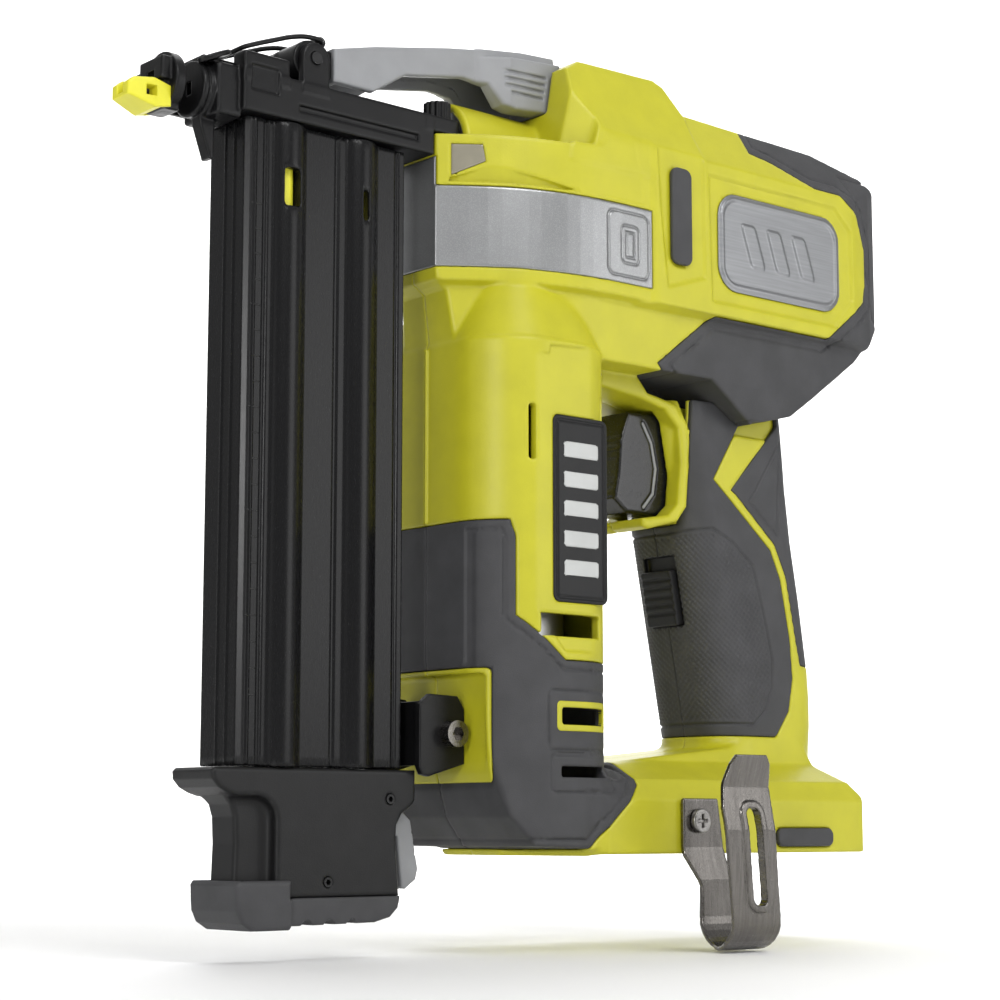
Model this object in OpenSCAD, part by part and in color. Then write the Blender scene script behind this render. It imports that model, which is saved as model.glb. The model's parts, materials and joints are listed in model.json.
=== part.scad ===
// Cordless brad nailer, in millimetres.
// +X points to the rear of the tool, -Y is its left side, +Z is up.
// The origin is the centre of the battery foot's underside.

/* [Driving line] */
// Height of the nail channel above the battery foot
drive_z = 232.5; // [231:0.5:234]
// Travel of the drive piston and its blade
drive_stroke = 69.5; // [60:0.5:69.5]
// Bore radius of the drive cylinder
drive_bore_r = 11.5; // [10:0.5:11.5]

/* [Motor and pump] */
// Height of the motor's axis
motor_z = 212; // [210:1:213]
// Pitch radius of the motor's output pinion
pinion_r = 6; // [5:1:7]
// Pitch radius of the crank gear
crank_gear_r = 18; // [16:1:18]
// Crank throw, half the pump stroke
crank_throw = 13; // [10:1:13]
// Bore radius of the pump cylinder
pump_bore_r = 22; // [18:1:22]
// Distance of the pump's axis in front of the origin
pump_x = -84; // [-85:1:-83]

/* [Housing] */
// Wall of the moulded shells
wall = 2.6; // [2:0.2:3]
// Thickness of the handle's rubber skin
grip_skin = 1.8; // [1.2:0.2:2]
// Half of the tool's width at the head
head_half_w = 36; // [35:1:37]
// Half of the cylinder housing's width
barrel_half_w = 37; // [36:1:38]
// Front of the head, ahead of the origin
head_front = -118; // [-119:1:-117]
// Top of the battery foot
foot_h = 38; // [36:1:40]

/* [Magazine] */
// Front face of the magazine
mag_front = -190; // [-191:1:-189]
// Rear face of the magazine
mag_rear = -129; // [-130:1:-128]
// Height of the magazine's lower end
mag_low = 27; // [26.8:0.2:28]
// Height of the magazine's upper end
mag_high = 225.5; // [224:0.5:225.5]

/* [Hidden] */

yellow = "#CDCB2C";
dark = "#45464A";
black = "#242527";
silver = "#A9ABAE";
steel = "#7E7C78";
hidden_red = "#8A3A32";

big = 400;
gap = 0.3;
drive_out_r = drive_bore_r + 1.5;
ridge_r = drive_out_r + 0.2 + wall;
crank_z = motor_z - pinion_r - crank_gear_r;
crank_pin_z = crank_z - crank_throw;
rod_len = 55;
wrist_z = crank_pin_z - rod_len;
piston_rear = -26;
piston_len = 7;
blade_tip = -137;
gear_x = -22;
gear_w = 6;
web_x = pump_x + 8;

// ---------- general shapes ----------

// An outline in X and Z, given a width along Y from y0 to y1.
module side_slab(points, y0, y1)
    translate([0, y1, 0])
        rotate([90, 0, 0])
            linear_extrude(height = y1 - y0)
                polygon(points);

// An outline in X and Y, given a height from z0 to z1.
module plan_slab(points, z0, z1)
    translate([0, 0, z0])
        linear_extrude(height = z1 - z0)
            polygon(points);

// An outline in Y and Z, given a length along X from x0 to x1.
module front_slab(points, x0, x1)
    translate([x0, 0, 0])
        rotate([90, 0, 90])
            linear_extrude(height = x1 - x0)
                polygon(points);

module x_rod(x0, x1, y, z, r)
    translate([x0, y, z])
        rotate([0, 90, 0])
            cylinder(h = x1 - x0, r = r, $fn = 64);

module y_rod(x, y0, y1, z, r)
    translate([x, y1, z])
        rotate([90, 0, 0])
            cylinder(h = y1 - y0, r = r, $fn = 64);

module z_rod(x, y, z0, z1, r)
    translate([x, y, z0])
        cylinder(h = z1 - z0, r = r, $fn = 64);

module box(low, high)
    translate(low)
        cube(high - low);

// Everything on one side of the parting plane: -1 is the left side, 1 the right.
module side_of(side)
    translate([-big / 2, side > 0 ? 0 : -big, -big / 2])
        cube([big, big, 2 * big]);

module both_sides() {
    children();
    mirror([0, 1, 0])
        children();
}

// Points of an arc about c, from angle a0 to a1.
function arc(c, r, a0, a1, n = 8) =
    [for (k = [0:n]) c + r * [cos(a0 + (a1 - a0) * k / n), sin(a0 + (a1 - a0) * k / n)]];

// A rectangle with round corners, from low to high.
function round_rect(low, high, r) = concat(
    arc([high[0] - r, high[1] - r], r, 0, 90),
    arc([low[0] + r, high[1] - r], r, 90, 180),
    arc([low[0] + r, low[1] + r], r, 180, 270),
    arc([high[0] - r, low[1] + r], r, 270, 360));

// ---------- outer form of the housing, inset by i ----------

barrel_low = [-112, -barrel_half_w];
barrel_high = [-55, barrel_half_w];

function head_side(i) = [
    [head_front + i, 187.5 + i], [-112 + i, 163 + i], [-8, 163 + i], [14, 150 + i], [34, 155 + i],
    [46 - i / 2, 164 + i], [65 - i, 178 + i / 2], [79 - i, 193], [86 - i, 210], [86 - i, 226],
    [82 - i, 240 - i / 2], [73 - i / 2, 250 - i], [50, 256 - i], [-20, 258 - i], [-61, 258 - i],
    [-68, 233.5 - i], [head_front + i, 233.5 - i]];

function head_plan(i) = [
    [head_front + i, -12 + i / 2], [-101 + i / 2, -23.5 + i], [-86, -31.5 + i], [-68, -head_half_w + i],
    [60, -head_half_w + i], [78 - i / 2, -28 + i / 2], [86 - i, -16], [86 - i, 16], [78 - i / 2, 28 - i / 2],
    [60, head_half_w - i], [-68, head_half_w - i], [-86, 31.5 - i], [-101 + i / 2, 23.5 - i],
    [head_front + i, 12 - i / 2]];

function head_end(i) = [
    [-head_half_w + i, 176 + i / 2], [-26 + i / 2, 148 + i], [26 - i / 2, 148 + i],
    [head_half_w - i, 176 + i / 2], [head_half_w - i, 238 - i / 2], [23 - i / 2, 258.5 - i],
    [-23 + i / 2, 258.5 - i], [-head_half_w + i, 238 - i / 2]];

function hump_side(i) = [
    [-77 + i, 232], [-70 + i, 264 - i], [-62, 268 - i], [-31, 270 - i], [-24 - i / 2, 265 - i],
    [-18 - i, 256], [-18 - i, 232]];

function hump_end(i) = [
    [-head_half_w + i, 231], [head_half_w - i, 231], [head_half_w - i, 236 - i / 2], [20 - i / 2, 271 - i],
    [-20 + i / 2, 271 - i], [-head_half_w + i, 236 - i / 2]];

function foot_side(i) = [
    [-92 + i, i], [61 - i, i], [61 - i, 12 - i / 2], [55 - i, 15], [36 - i, 32 - i / 2], [30 - i, foot_h - i],
    [-52, foot_h - 8 - i], [-58, 24 - i], [-92 + i, 24 - i]];

function foot_plan(i) = [
    [-92 + i, -14], [-66, -head_half_w - 2 + i], [52, -head_half_w - 2 + i], [61 - i, -head_half_w + 7],
    [61 - i, head_half_w - 7], [52, head_half_w + 2 - i], [-66, head_half_w + 2 - i], [-92 + i, 14]];

function foot_end(i) = [
    [-head_half_w - 2 + i, i], [head_half_w + 2 - i, i], [head_half_w + 2 - i, 13 - i / 2],
    [20, foot_h - i], [-20, foot_h - i], [-head_half_w - 2 + i, 13 - i / 2]];

function boot_side(i) = [
    [-112 + i, 190 - i], [-55 - i, 190 - i], [-55 - i, 24], [-58 - i, 12 + i], [-72, 2 + i], [-96, 3 + i],
    [-103 + i / 2, 12 + i / 2], [-107 + i, 26], [-112 + i, 62]];

handle_low = [1.5, -19.5];
handle_high = [60, 19.5];
handle_lean = 11;
handle_foot = 60;

module handle_form(i, z0 = 28, z1 = 175)
    intersection() {
        translate([0, 0, handle_foot])
            rotate([0, -handle_lean, 0])
                translate([0, 0, -55])
                    linear_extrude(height = 190)
                        polygon(round_rect(handle_low + [i, i], handle_high - [i, i], 14 - i));
        translate([0, 0, z0])
            linear_extrude(height = z1 - z0)
                square([2 * big, big], center = true);
    }

module head_form(i)
    intersection() {
        side_slab(head_side(i), -40, 40);
        plan_slab(head_plan(i), 140, 275);
        front_slab(head_end(i), -125, 95);
    }

module hump_form(i)
    intersection() {
        side_slab(hump_side(i), -40, 40);
        front_slab(hump_end(i), -80, -10);
    }

module ridge_form(i)
    x_rod(-107.4 + i, -60, 0, drive_z, ridge_r - i);

module barrel_form(i)
    intersection() {
        plan_slab(round_rect(barrel_low + [i, i], barrel_high - [i, i], 23 - i), 1, 191);
        side_slab(boot_side(i), -40, 40);
    }

module foot_form(i)
    intersection() {
        side_slab(foot_side(i), -40, 40);
        plan_slab(foot_plan(i), -1, 45);
        front_slab(foot_end(i), -95, 65);
    }

guard_ring = [[-50, 166], [-34, 166], [-27, 158], [-13, 155.5], [-8, 148], [-7, 134], [-8.4, 119.5],
    [-13, 114], [-27, 110.3], [-30, 111], [-30, 114.5], [-20.8, 117], [-16.5, 121], [-14.5, 136],
    [-16.5, 146], [-22, 151.7], [-31, 154], [-50, 157]];

// Rim round the trigger, from the head's underside to the lip below the finger.
module guard_form()
    side_slab(guard_ring, -17, 17);

module outer_form(i) {
    head_form(i);
    hump_form(i);
    ridge_form(i);
    barrel_form(i);
    foot_form(i);
    handle_form(i);
}

// ---------- regions that the separate mouldings take ----------

boot_region = [
    [-140, 105.5], [-103, 105.5], [-101.5, 100], [-101.5, 75], [-84, 61.5], [-30, 61.5], [-30, 42],
    [-52, 21.5], [-75, 1], [-75, -10], [-140, -10]];

cap_region = [
    [12, 290], [12, 248], [22, 246], [40, 239], [53.5, 239], [63.3, 233], [68.5, 221], [68.5, 207],
    [67, 200.5], [46.3, 184.2], [-10.7, 184.2], [-34.8, 165.2], [-26, 158], [60, 157.5], [120, 150],
    [120, 290]];

// The foot's own material that passes below the boot.
sole_t = 2;
grip_low = 44;
grip_high = 157.5;

module cap_slab()
    side_slab(cap_region, -50, 50);

module boot_slab()
    intersection() {
        side_slab(boot_region, -50, 50);
        barrel_block();
    }

module barrel_block()
    box([-113, -45, sole_t], [-51, 45, 110]);

// ---------- cavities and openings ----------

// Socket that takes the stem of a battery pack.
socket_front = 11;
socket_rear = 54;
socket_top = 75;

module stem_socket()
    box([socket_front, -15, -1], [socket_rear, 15, socket_top]);

module trigger_pocket()
    box([-46, -9.8, 115], [-2, 9.8, 153.5]);

module mode_pocket()
    translate([0, 0, handle_foot])
        rotate([0, -handle_lean, 0])
            box([-3, -7.8, 19], [4.2, 7.8, 44]);

// Cooling slots and the windows beside the pump.
module side_vents()
    both_sides() {
        box([-87, -45, 81], [-63, -30, 88]);
        box([-86, -45, 41], [-65, -30, 46.5]);
        box([-86, -45, 24.5], [-65, -30, 28]);
        box([-100.5, -45, 124], [-98.5, -30, 144]);
        box([-62, -45, 124], [-60, -30, 144]);
    }

// X, Z and half length of each housing screw.
bore_points = [[-62, 158, 33], [-4, 176, 33], [0, 248, 28], [-46, 254, 22], [-30, 19, 30], [75, 238, 25],
    [42, 174, 32]];

module screw_bosses()
    for (p = bore_points)
        y_rod(p[0], -45, 45, p[1], 4);

module screw_bores()
    for (p = bore_points) {
        y_rod(p[0], -p[2] + 3, p[2], p[1], 1.7);
        y_rod(p[0], p[2] - 3, 60, p[1], 3.4);
    }

// Room above the ridge for the jam latch.
module latch_pocket()
    box([-100, -15.8, 248.2], [-64.2, 15.8, 280]);

module inner_form() {
    difference() {
        outer_form(wall);
        screw_bosses();
        hook_bosses();
    }
    x_rod(-110, -60, 0, drive_z, drive_out_r + 0.2);
    box([-3, -12, 112], [46, 12, 160]);
    box([-3, -10, 76], [44, 10, 115]);
}

module moulding_cuts() {
    inner_form();
    stem_socket();
    trigger_pocket();
    mode_pocket();
    side_vents();
    screw_bores();
    band_groove();
    plate_pockets();
    hook_bores();
    nose_pocket();
    bracket_pocket();
    foot_bumper_pockets();
    side_bumper_pockets();
    lens_pockets();
    latch_pocket();
}

module housing_half(side)
    color(yellow)
        difference() {
            intersection() {
                union() {
                    difference() {
                        outer_form(0);
                        handle_cut();
                        cap_slab();
                        boot_slab();
                    }
                    difference() {
                        guard_form();
                        cap_slab();
                    }
                    core_form();
                }
                side_of(side);
            }
            moulding_cuts();
        }

// The stretch of the handle that carries the rubber skin.
module handle_cut()
    intersection() {
        box([-20, -25, grip_low], [75, 25, grip_high]);
        handle_zone();
    }

module handle_zone()
    side_slab([[-20, 40], [90, 40], [90, 162], [-7.5, 162], [-7.5, 108], [-20, 108]], -45, 45);

module core_form()
    intersection() {
        handle_form(grip_skin);
        box([-20, -25, grip_low - 1], [75, 25, grip_high - 0.1]);
        handle_zone();
    }

module grip_half(side)
    color(dark)
        difference() {
            intersection() {
                handle_form(0, grip_low, grip_high);
                handle_zone();
                side_of(side);
            }
            handle_form(grip_skin);
            guard_form();
            trigger_pocket();
            mode_pocket();
        }

module boot_half(side)
    color(dark)
        difference() {
            intersection() {
                union() {
                    barrel_form(0);
                    foot_form(0);
                }
                boot_slab();
                side_of(side);
            }
            inner_form();
            side_vents();
            bracket_pocket();
            screw_bores();
        }

module cap_half(side)
    color(dark)
        difference() {
            intersection() {
                head_form(0);
                cap_slab();
                side_of(side);
            }
            difference() {
                head_form(wall);
                screw_bosses();
            }
            handle_form(wall, 140, 175);
            screw_bores();
            rear_vents();
        }

module left_housing() housing_half(-1);
module right_housing() housing_half(1);
module left_boot() boot_half(-1);
module right_boot() boot_half(1);
module left_rear_cap() cap_half(-1);
module right_rear_cap() cap_half(1);
module left_handle_grip() grip_half(-1);
module right_handle_grip() grip_half(1);

// Cooling slots in the lower rear of the cap.
module rear_vents()
    for (k = [-2:2])
        box([60, 7 * k - 1.2, 182], [90, 7 * k + 1.2, 199]);

// ---------- trim ----------

band_low = 189;
band_high = 216;
band_rear = -42;
band_depth = 1.6;

module band_solid(grow)
    intersection() {
        difference() {
            plan_slab(head_plan(0), band_low - grow, band_high + grow);
            plan_slab(head_plan(band_depth + grow), band_low - 5, band_high + 5);
        }
        box([-130, -45, 150], [band_rear + grow, 45, 250]);
    }

module band_groove() band_solid(0.05);

module gauge_band()
    color(silver)
        band_solid(0);

badge_outline = round_rect([-10, 194], [53, 229], 9);
label_outline = round_rect([-87, 81], [-63, 141], 2);
bar_outline = round_rect([-33.5, 200], [-23, 233.5], 3);
foot_bar_outline = round_rect([9.5, 1.8], [37, 8], 2.5);
plate_t = 1;

module plate_pockets()
    both_sides() {
        side_slab(badge_outline, -50, -head_half_w + plate_t);
        side_slab(label_outline, -50, -barrel_half_w + plate_t);
    }

module badge_plates()
    color(silver)
        both_sides()
            side_slab(badge_outline, -head_half_w, -head_half_w + plate_t);

module label_plates()
    color(black)
        both_sides()
            side_slab(label_outline, -barrel_half_w, -barrel_half_w + plate_t);

module side_bumper_pockets()
    both_sides()
        side_slab(bar_outline, -50, -head_half_w + plate_t);

module side_bumpers()
    color(dark)
        both_sides()
            side_slab(bar_outline, -head_half_w - 1, -head_half_w + plate_t);

module foot_bumper_pockets()
    both_sides()
        side_slab(foot_bar_outline, -50, -head_half_w - 2 + plate_t);

module foot_bumpers()
    color(dark)
        both_sides()
            side_slab(foot_bar_outline, -head_half_w - 3, -head_half_w - 2 + plate_t);

lens_outline = [[-110, 218], [-110, 228], [-101, 228], [-100, 222]];

module lens_slab(y0)
    side_slab(lens_outline, y0, -13);

module lens_pockets()
    both_sides()
        intersection() {
            lens_slab(-45);
            difference() {
                plan_slab(head_plan(-1), 200, 240);
                plan_slab(head_plan(2), 200, 240);
            }
        }

module led_lenses()
    color("#C9C6B4")
        both_sides()
            intersection() {
                lens_slab(-45);
                difference() {
                    plan_slab(head_plan(0), 200, 240);
                    plan_slab(head_plan(2), 190, 250);
                }
            }

module housing_screws()
    color(steel)
        for (p = bore_points) {
            y_rod(p[0], -p[2] + 4, p[2] - 3, p[1], 1.6);
            y_rod(p[0], p[2] - 3, p[2] - 0.5, p[1], 3);
        }

// ---------- nose ----------

nose_half_w = 12;
nose_low = 226;
nose_high = 239.5;
nose_tip = -206;
latch_x = -166;
latch_z = 248;

module nose_pocket() {
    box([-123, -nose_half_w - 2.2, 233.8], [-107.6, nose_half_w + 2.2, 245]);
    x_rod(-125, -107, 0, drive_z, 3);
    x_rod(-125, -114, 0, drive_z, 5.2);
}

module nose_frame()
    color(black)
        difference() {
            union() {
                box([-193, -nose_half_w, nose_low], [head_front - gap, nose_half_w, nose_high]);
                both_sides()
                    box([-193, 5.5, nose_high - 1], [-176, nose_half_w, 245]);
                x_rod(nose_tip, -192, 0, drive_z, 7);
                box([-202, -4, 224], [-190, 4, drive_z]);
                box([head_front - 4, -nose_half_w, 234], [-108, nose_half_w, nose_high]);
                x_rod(head_front - 1, -114.2, 0, drive_z, 5);
                latch_ears();
                side_slab([[-203, 228], [-199, 211], [-191.5, 211], [-191.5, 228]], -2.5, 2.5);
            }
            box([-230, -1.3, drive_z - 2], [-100, 1.3, drive_z + 2]);
            box([-188, -1.3, 220], [-136, 1.3, drive_z]);
            y_rod(latch_x, -20, 20, latch_z, 2.05);
            z_rod(wheel_x, wheel_y, 230, 250, wheel_r + 0.3);
            box([-205, -3, drive_z + 1], [-176, 3, 250]);
        }

module latch_ears()
    for (y = [-12, 9.4])
        translate([0, y, 0]) {
            y_rod(latch_x, 0, 2.6, latch_z, 5);
            box([latch_x - 5, 0, nose_high - 1], [latch_x + 5, 2.6, latch_z]);
        }

module nose_plate_screws()
    color(steel)
        for (x = [-134, -124])
            translate([x, 0, nose_high])
                difference() {
                    z_rod(0, 8, 0, 2.4, 2.6);
                    translate([0, 8, 1])
                        cylinder(h = 3, r = 1.3, $fn = 6);
                }

module contact_arm()
    color(black)
        difference() {
            union() {
                box([-219, -6.5, 231.8], [-211.5, 6.5, 239]);
                box([-217.5, -5, 223], [-211.5, 5, 232]);
                box([-216, 5, 226], [-211.5, 14.4, 238]);
                box([-216, 12.4, 228], [-150, 14.4, 237]);
            }
            box([-230, -2, drive_z - 2.6], [-205, 2, drive_z + 2.6]);
            x_rod(-214, -205, 0, drive_z, 7.4);
        }

module no_mar_tip()
    color(yellow)
        difference() {
            side_slab([[-229.5, 229.5], [-228, 230.8], [-219.3, 231.5], [-219.3, 222], [-221, 220.5], [-229.5, 223.5]],
                -6, 6);
            box([-235, -1.6, 226], [-200, 1.6, 235]);
        }

wheel_x = -113;
wheel_y = -6.5;
wheel_r = 4.6;

module depth_wheel()
    color(steel)
        difference() {
            z_rod(wheel_x, wheel_y, 235.4, 245.5, wheel_r);
            for (a = [0:30:330])
                translate([wheel_x, wheel_y, 0])
                    rotate([0, 0, a])
                        translate([wheel_r + 0.2, 0, 240])
                            cylinder(h = 10, r = 0.6, $fn = 16);
            z_rod(wheel_x, wheel_y, 243.5, 250, 1.6);
        }

latch_top = [[-158, 253.6], [-141.5, 258], [-111, 264.5], [-97, 267], [-80, 269.5], [-65.5, 270.5]];

function latch_side(drop) = concat(
    [for (p = latch_top) p - [0, drop]],
    [[-65, 268 - drop], [-66.5, 264 - drop], [-67.6, 251.5 - drop], [-71, 249.5 - drop], [-86, 248 - drop],
     [-90.5, 249.5 - drop], [-95.5, 255 - drop], [-105, 255.5 - drop], [-129, 251 - drop],
     [-142, 242.6 - drop], [-158, 242.6 - drop]]);

module jam_latch()
    color(silver)
        difference() {
            union() {
                side_slab(latch_side(0), -10.5, 10.5);
                intersection() {
                    side_slab(latch_side(0), -16, 16);
                    plan_slab([[-64, -15], [-88, -15], [-100, -10.5], [-100, 10.5], [-88, 15], [-64, 15]], 248, 275);
                }
            }
            side_slab([for (p = latch_top) p - [0, 4]], -8, 8);
            side_slab(concat([for (p = latch_top) p - [0, 3.8]], [[-60, 235], [-150, 235]]), -8, 8);
            side_slab([[-156, 248], [-156, 235], [-60, 235], [-60, 248]], -8, 8);
            for (k = [0:4])
                translate([-84 + 3.6 * k, 0, 270])
                    box([0, -12, -1], [1.4, 12, 5]);
        }

module latch_cam()
    color(black)
        difference() {
            union() {
                y_rod(latch_x, -9, 9, latch_z, 6.6);
                box([latch_x, -9, 243.4], [-158.05, 9, 252.6]);
                y_rod(bail_eye[0], -6, 6, bail_eye[1], 1.8);
                side_slab([[-165, 252], [-161.2, 257.6], [-158.9, 256], [-159.4, 250]], -6, 6);
            }
            y_rod(latch_x, -20, 20, latch_z, 2.05);
            y_rod(bail_eye[0], -20, 20, bail_eye[1], bail_t / 2 + 0.15);
        }

module latch_pin()
    color(steel)
        y_rod(latch_x, -12.4, 12.4, latch_z, 2);

bail_t = 1.6;
bail_leg_y = 6.4;
bail_eye = [-160, 256.2];
// Centre line of a bail leg, in X and Z, from its eye to its hooked end.
bail_path = [bail_eye, [-168, 256], [-178, 252.6], [-190, 247.6]];

// Two spring legs, on a cross bar that turns in the cam, joined at the hooked end.
module wire_bail()
    color(black) {
        both_sides()
            side_slab(concat([for (p = bail_path) p + [0, bail_t / 2]],
                [for (k = [3:-1:0]) bail_path[k] - [0, bail_t / 2]]), -bail_leg_y - bail_t, -bail_leg_y);
        y_rod(bail_eye[0], -bail_leg_y - bail_t, bail_leg_y + bail_t, bail_eye[1], bail_t / 2 + 0.05);
        box([bail_path[3][0] - 0.2, -bail_leg_y - 1, bail_path[3][1] - bail_t / 2],
            [bail_path[3][0] + bail_t, bail_leg_y + 1, bail_path[3][1] + bail_t / 2 - 0.5]);
    }

// Axis that the nose door swings on, in X and Z.
door_pin = [-203, 241.5];

module nose_door()
    color(black)
        union() {
            box([-203, -2.7, drive_z + 2.2], [-177, 2.7, 241]);
            box([-203, -5, 241], [-179, 5, 242.6]);
            both_sides()
                translate([-200, -6, 242.6])
                    rotate([0, -25, 0])
                        box([-6, -2.5, -0.9], [5, 2.5, 0.7]);
            z_rod(-184, 0, 242, 245.5, 3);
            y_rod(door_pin[0], -5, 5, door_pin[1], 1.3);
        }

// ---------- magazine ----------

mag_left = -9.5;
mag_right = 10.5;
nail_gap = 0.9;
tube_r = 5.6;
tube_y = -6.4;
tube_1 = -174;
tube_2 = -146;

// Sliding cover: left wall, front wall and two spring tubes.
module magazine_cover()
    color(black)
        difference() {
            union() {
                plan_slab([[mag_front, mag_right], [mag_front, mag_left + 1.5], [mag_front + 1.5, mag_left],
                    [mag_rear, mag_left], [mag_rear, -1], [mag_front + 4, -1], [mag_front + 4, mag_right]],
                    mag_low, mag_high);
                z_rod(tube_1, tube_y, mag_low, mag_high, tube_r);
                z_rod(tube_2, tube_y, mag_low, mag_high, tube_r);
            }
            box([-184, -3.6, mag_low + 3], [-135, 0, mag_high + 1]);
            z_rod(tube_1, tube_y + 0.6, mag_low + 3, mag_high + 1, 3.6);
            z_rod(tube_2, tube_y + 0.6, mag_low + 3, mag_high + 1, 3.6);
            box([tube_1 - 3, -20, 199], [tube_1 + 3.2, -6, 211]);
            box([tube_2 - 1, -20, 199.5], [tube_2 + 1.2, -6, 209]);
            box([mag_front + 7, mag_left - 1, mag_low - 1], [mag_front + 13, mag_left + 0.4, mag_high + 1]);
            both_grooves();
        }

module both_grooves()
    for (x = [-186.5, -133])
        box([x, mag_left - 1, mag_low - 1], [x + 0.8, mag_left + 0.6, mag_high + 1]);

rail_rear = mag_rear + 3.6;

// Fixed rail: right wall and rear wall, hung from the nose and the bracket.
module magazine_rail()
    color(black)
        difference() {
            plan_slab([[mag_front + 4.4, mag_right], [mag_front + 4.4, nail_gap], [mag_rear, nail_gap],
                [mag_rear, -0.6], [rail_rear, -0.6], [rail_rear, mag_right]], mag_low, nose_low);
            box([-180, 3.5, mag_low - 1], [-135, 8, nose_low + 1]);
        }

module magazine_end_cap()
    color(black)
        difference() {
            side_slab([[-204.5, 26.5], [-204.5, 22.5], [-194, 16.5], [-191.5, 10], [-192.5, -6.5], [-192.5, -12],
                [-131, -12], [-129.5, 10], [-127, 14.5], [-124.5, 18], [-124.5, 26.5]], mag_left - 1.5, mag_right + 1);
            box([-200, mag_left - 2, -13], [-174, mag_left + 2, 16]);
            box([-132.5, -4.6, -13], [-120, 4.6, 15]);
            y_rod(-129.5, -5.5, 5.5, 12.5, 1.55);
            for (p = [[-134, 17.5], [-157.5, -7.5]])
                y_rod(p[0], -20, 6, p[1], 1.6);
        }

module end_cap_screws()
    color(steel)
        for (p = [[-134, 17.5], [-157.5, -7.5]])
            difference() {
                y_rod(p[0], mag_left - 1.7, 5, p[1], 1.5);
                translate([p[0], mag_left - 0.5, p[1]])
                    rotate([90, 0, 0])
                        cylinder(h = 3, r = 0.9, $fn = 6);
            }

module magazine_boot()
    color(dark)
        difference() {
            side_slab([[-196, -6.7], [-195, -17], [-187, -21.3], [-140, -20.6], [-132, -17], [-131, -12.3], [-175, -12.3],
                [-175, -6.7]], mag_left - 3, mag_right + 2.5);
            side_slab([[-192.7, -12.3], [-192.7, -6], [-170, -6], [-170, -12.3]], mag_left - 1.6, mag_right + 1.1);
            for (k = [0:2])
                y_rod(-161 + 7 * k, -20, 20, -21.6, 1.2);
        }

lever_x = -129.5;
lever_z = 12.5;

module release_lever()
    color(silver)
        difference() {
            side_slab([[-131.5, 14], [-124, 14], [-119.5, 11], [-114.6, -4], [-121, -9.5], [-123.4, -9.5], [-126, 6],
                [-131.5, 10]], -4.2, 4.2);
            y_rod(lever_x, -20, 20, lever_z, 1.55);
        }

module lever_pin()
    color(steel)
        y_rod(lever_x, -5.4, 5.4, lever_z, 1.5);

module nail_pusher()
    color(yellow)
        union() {
            box([-182, -3.2, 196], [-137, -1.6, 221]);
            z_rod(tube_1, tube_y + 0.6, 197, 212, 3.2);
            z_rod(tube_2, tube_y + 0.6, 197, 212, 3.2);
        }

module bracket_pocket()
    box([-134, -26, 22], [-107, 26, 57]);

bolt_x = -113;
bolt_z = 38;
bolt_r = 2.5;
bolt_seat = 14.5;

module magazine_bracket()
    color(black)
        difference() {
            union() {
                both_sides()
                    side_slab([[rail_rear, 27.6], [rail_rear, 48], [-116, 50], [-109, 50], [-107.3, 46],
                        [-107.3, 28]], -bolt_seat, -bolt_seat + 2.5);
                box([rail_rear, -13, 28], [rail_rear + 2.4, 13, 48]);
            }
            y_rod(bolt_x, -20, 20, bolt_z, bolt_r + 0.1);
        }

module bracket_bolt()
    color(steel)
        difference() {
            union() {
                y_rod(bolt_x, -bolt_seat, bolt_seat + 3, bolt_z, bolt_r);
                y_rod(bolt_x, -bolt_seat - 4, -bolt_seat, bolt_z, 4.2);
            }
            translate([bolt_x, -bolt_seat - 1.5, bolt_z])
                rotate([90, 0, 0])
                    cylinder(h = 3, r = 2.3, $fn = 6);
        }

module bracket_nut()
    color(steel)
        difference() {
            translate([bolt_x, bolt_seat + 4, bolt_z])
                rotate([90, 0, 0])
                    cylinder(h = 4, r = 4.6, $fn = 6);
            y_rod(bolt_x, 0, 30, bolt_z, bolt_r);
        }

// ---------- handle, foot and trigger ----------

module trigger()
    color(black)
        difference() {
            side_slab([[-33, 142], [-29, 152], [-12, 152.5], [-9.6, 140], [-9.6, 124], [-12, 116.5],
                [-30, 116.5], [-36, 121], [-34, 130]], -9, 9);
            for (k = [0:5])
                y_rod(-37.4 + 0.6 * k, -20, 20, 123.5 + 3.6 * k, 1.1);
            x_rod(-20, 5, 0, trigger_spring_z, 3.6);
        }

trigger_spring_z = 138;

module trigger_spring()
    color(steel)
        difference() {
            x_rod(-19.5, -6, 0, trigger_spring_z, 3);
            x_rod(-25, 5, 0, trigger_spring_z, 2.2);
        }

module switch_body()
    color(black)
        difference() {
            box([-1.8, -9, 118], [26, 9, 150]);
            x_rod(-6, 8, 0, trigger_spring_z, 3.6);
        }

module mode_switch()
    color(black)
        translate([0, 0, handle_foot])
            rotate([0, -handle_lean, 0])
                box([-1.2, -7.4, 19.4], [3.9, 7.4, 39]);

module terminal_block()
    color(black)
        box([12, -13, socket_top + 1.5], [42, 13, socket_top + 11]);

module terminal_blades()
    color(steel)
        for (x = [16, 26, 36])
            box([x, -5, socket_top - 13], [x + 1, 5, socket_top + 1.5]);

module control_board()
    color("#2E5A3A")
        box([-54, -22, 12], [0, 22, 14]);

hook_x = -28;
hook_z = 11;
hook_bore_r = 2.05;
hook_seat = -head_half_w - 2;

module hook_bosses()
    both_sides()
        y_rod(hook_x, hook_seat + 0.5, hook_seat + 8, hook_z, 4.5);

module hook_bores()
    both_sides()
        y_rod(hook_x, hook_seat - 5, hook_seat + 12, hook_z, hook_bore_r);

hook_t = 1.5;
hook_w = 13.5;

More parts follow.
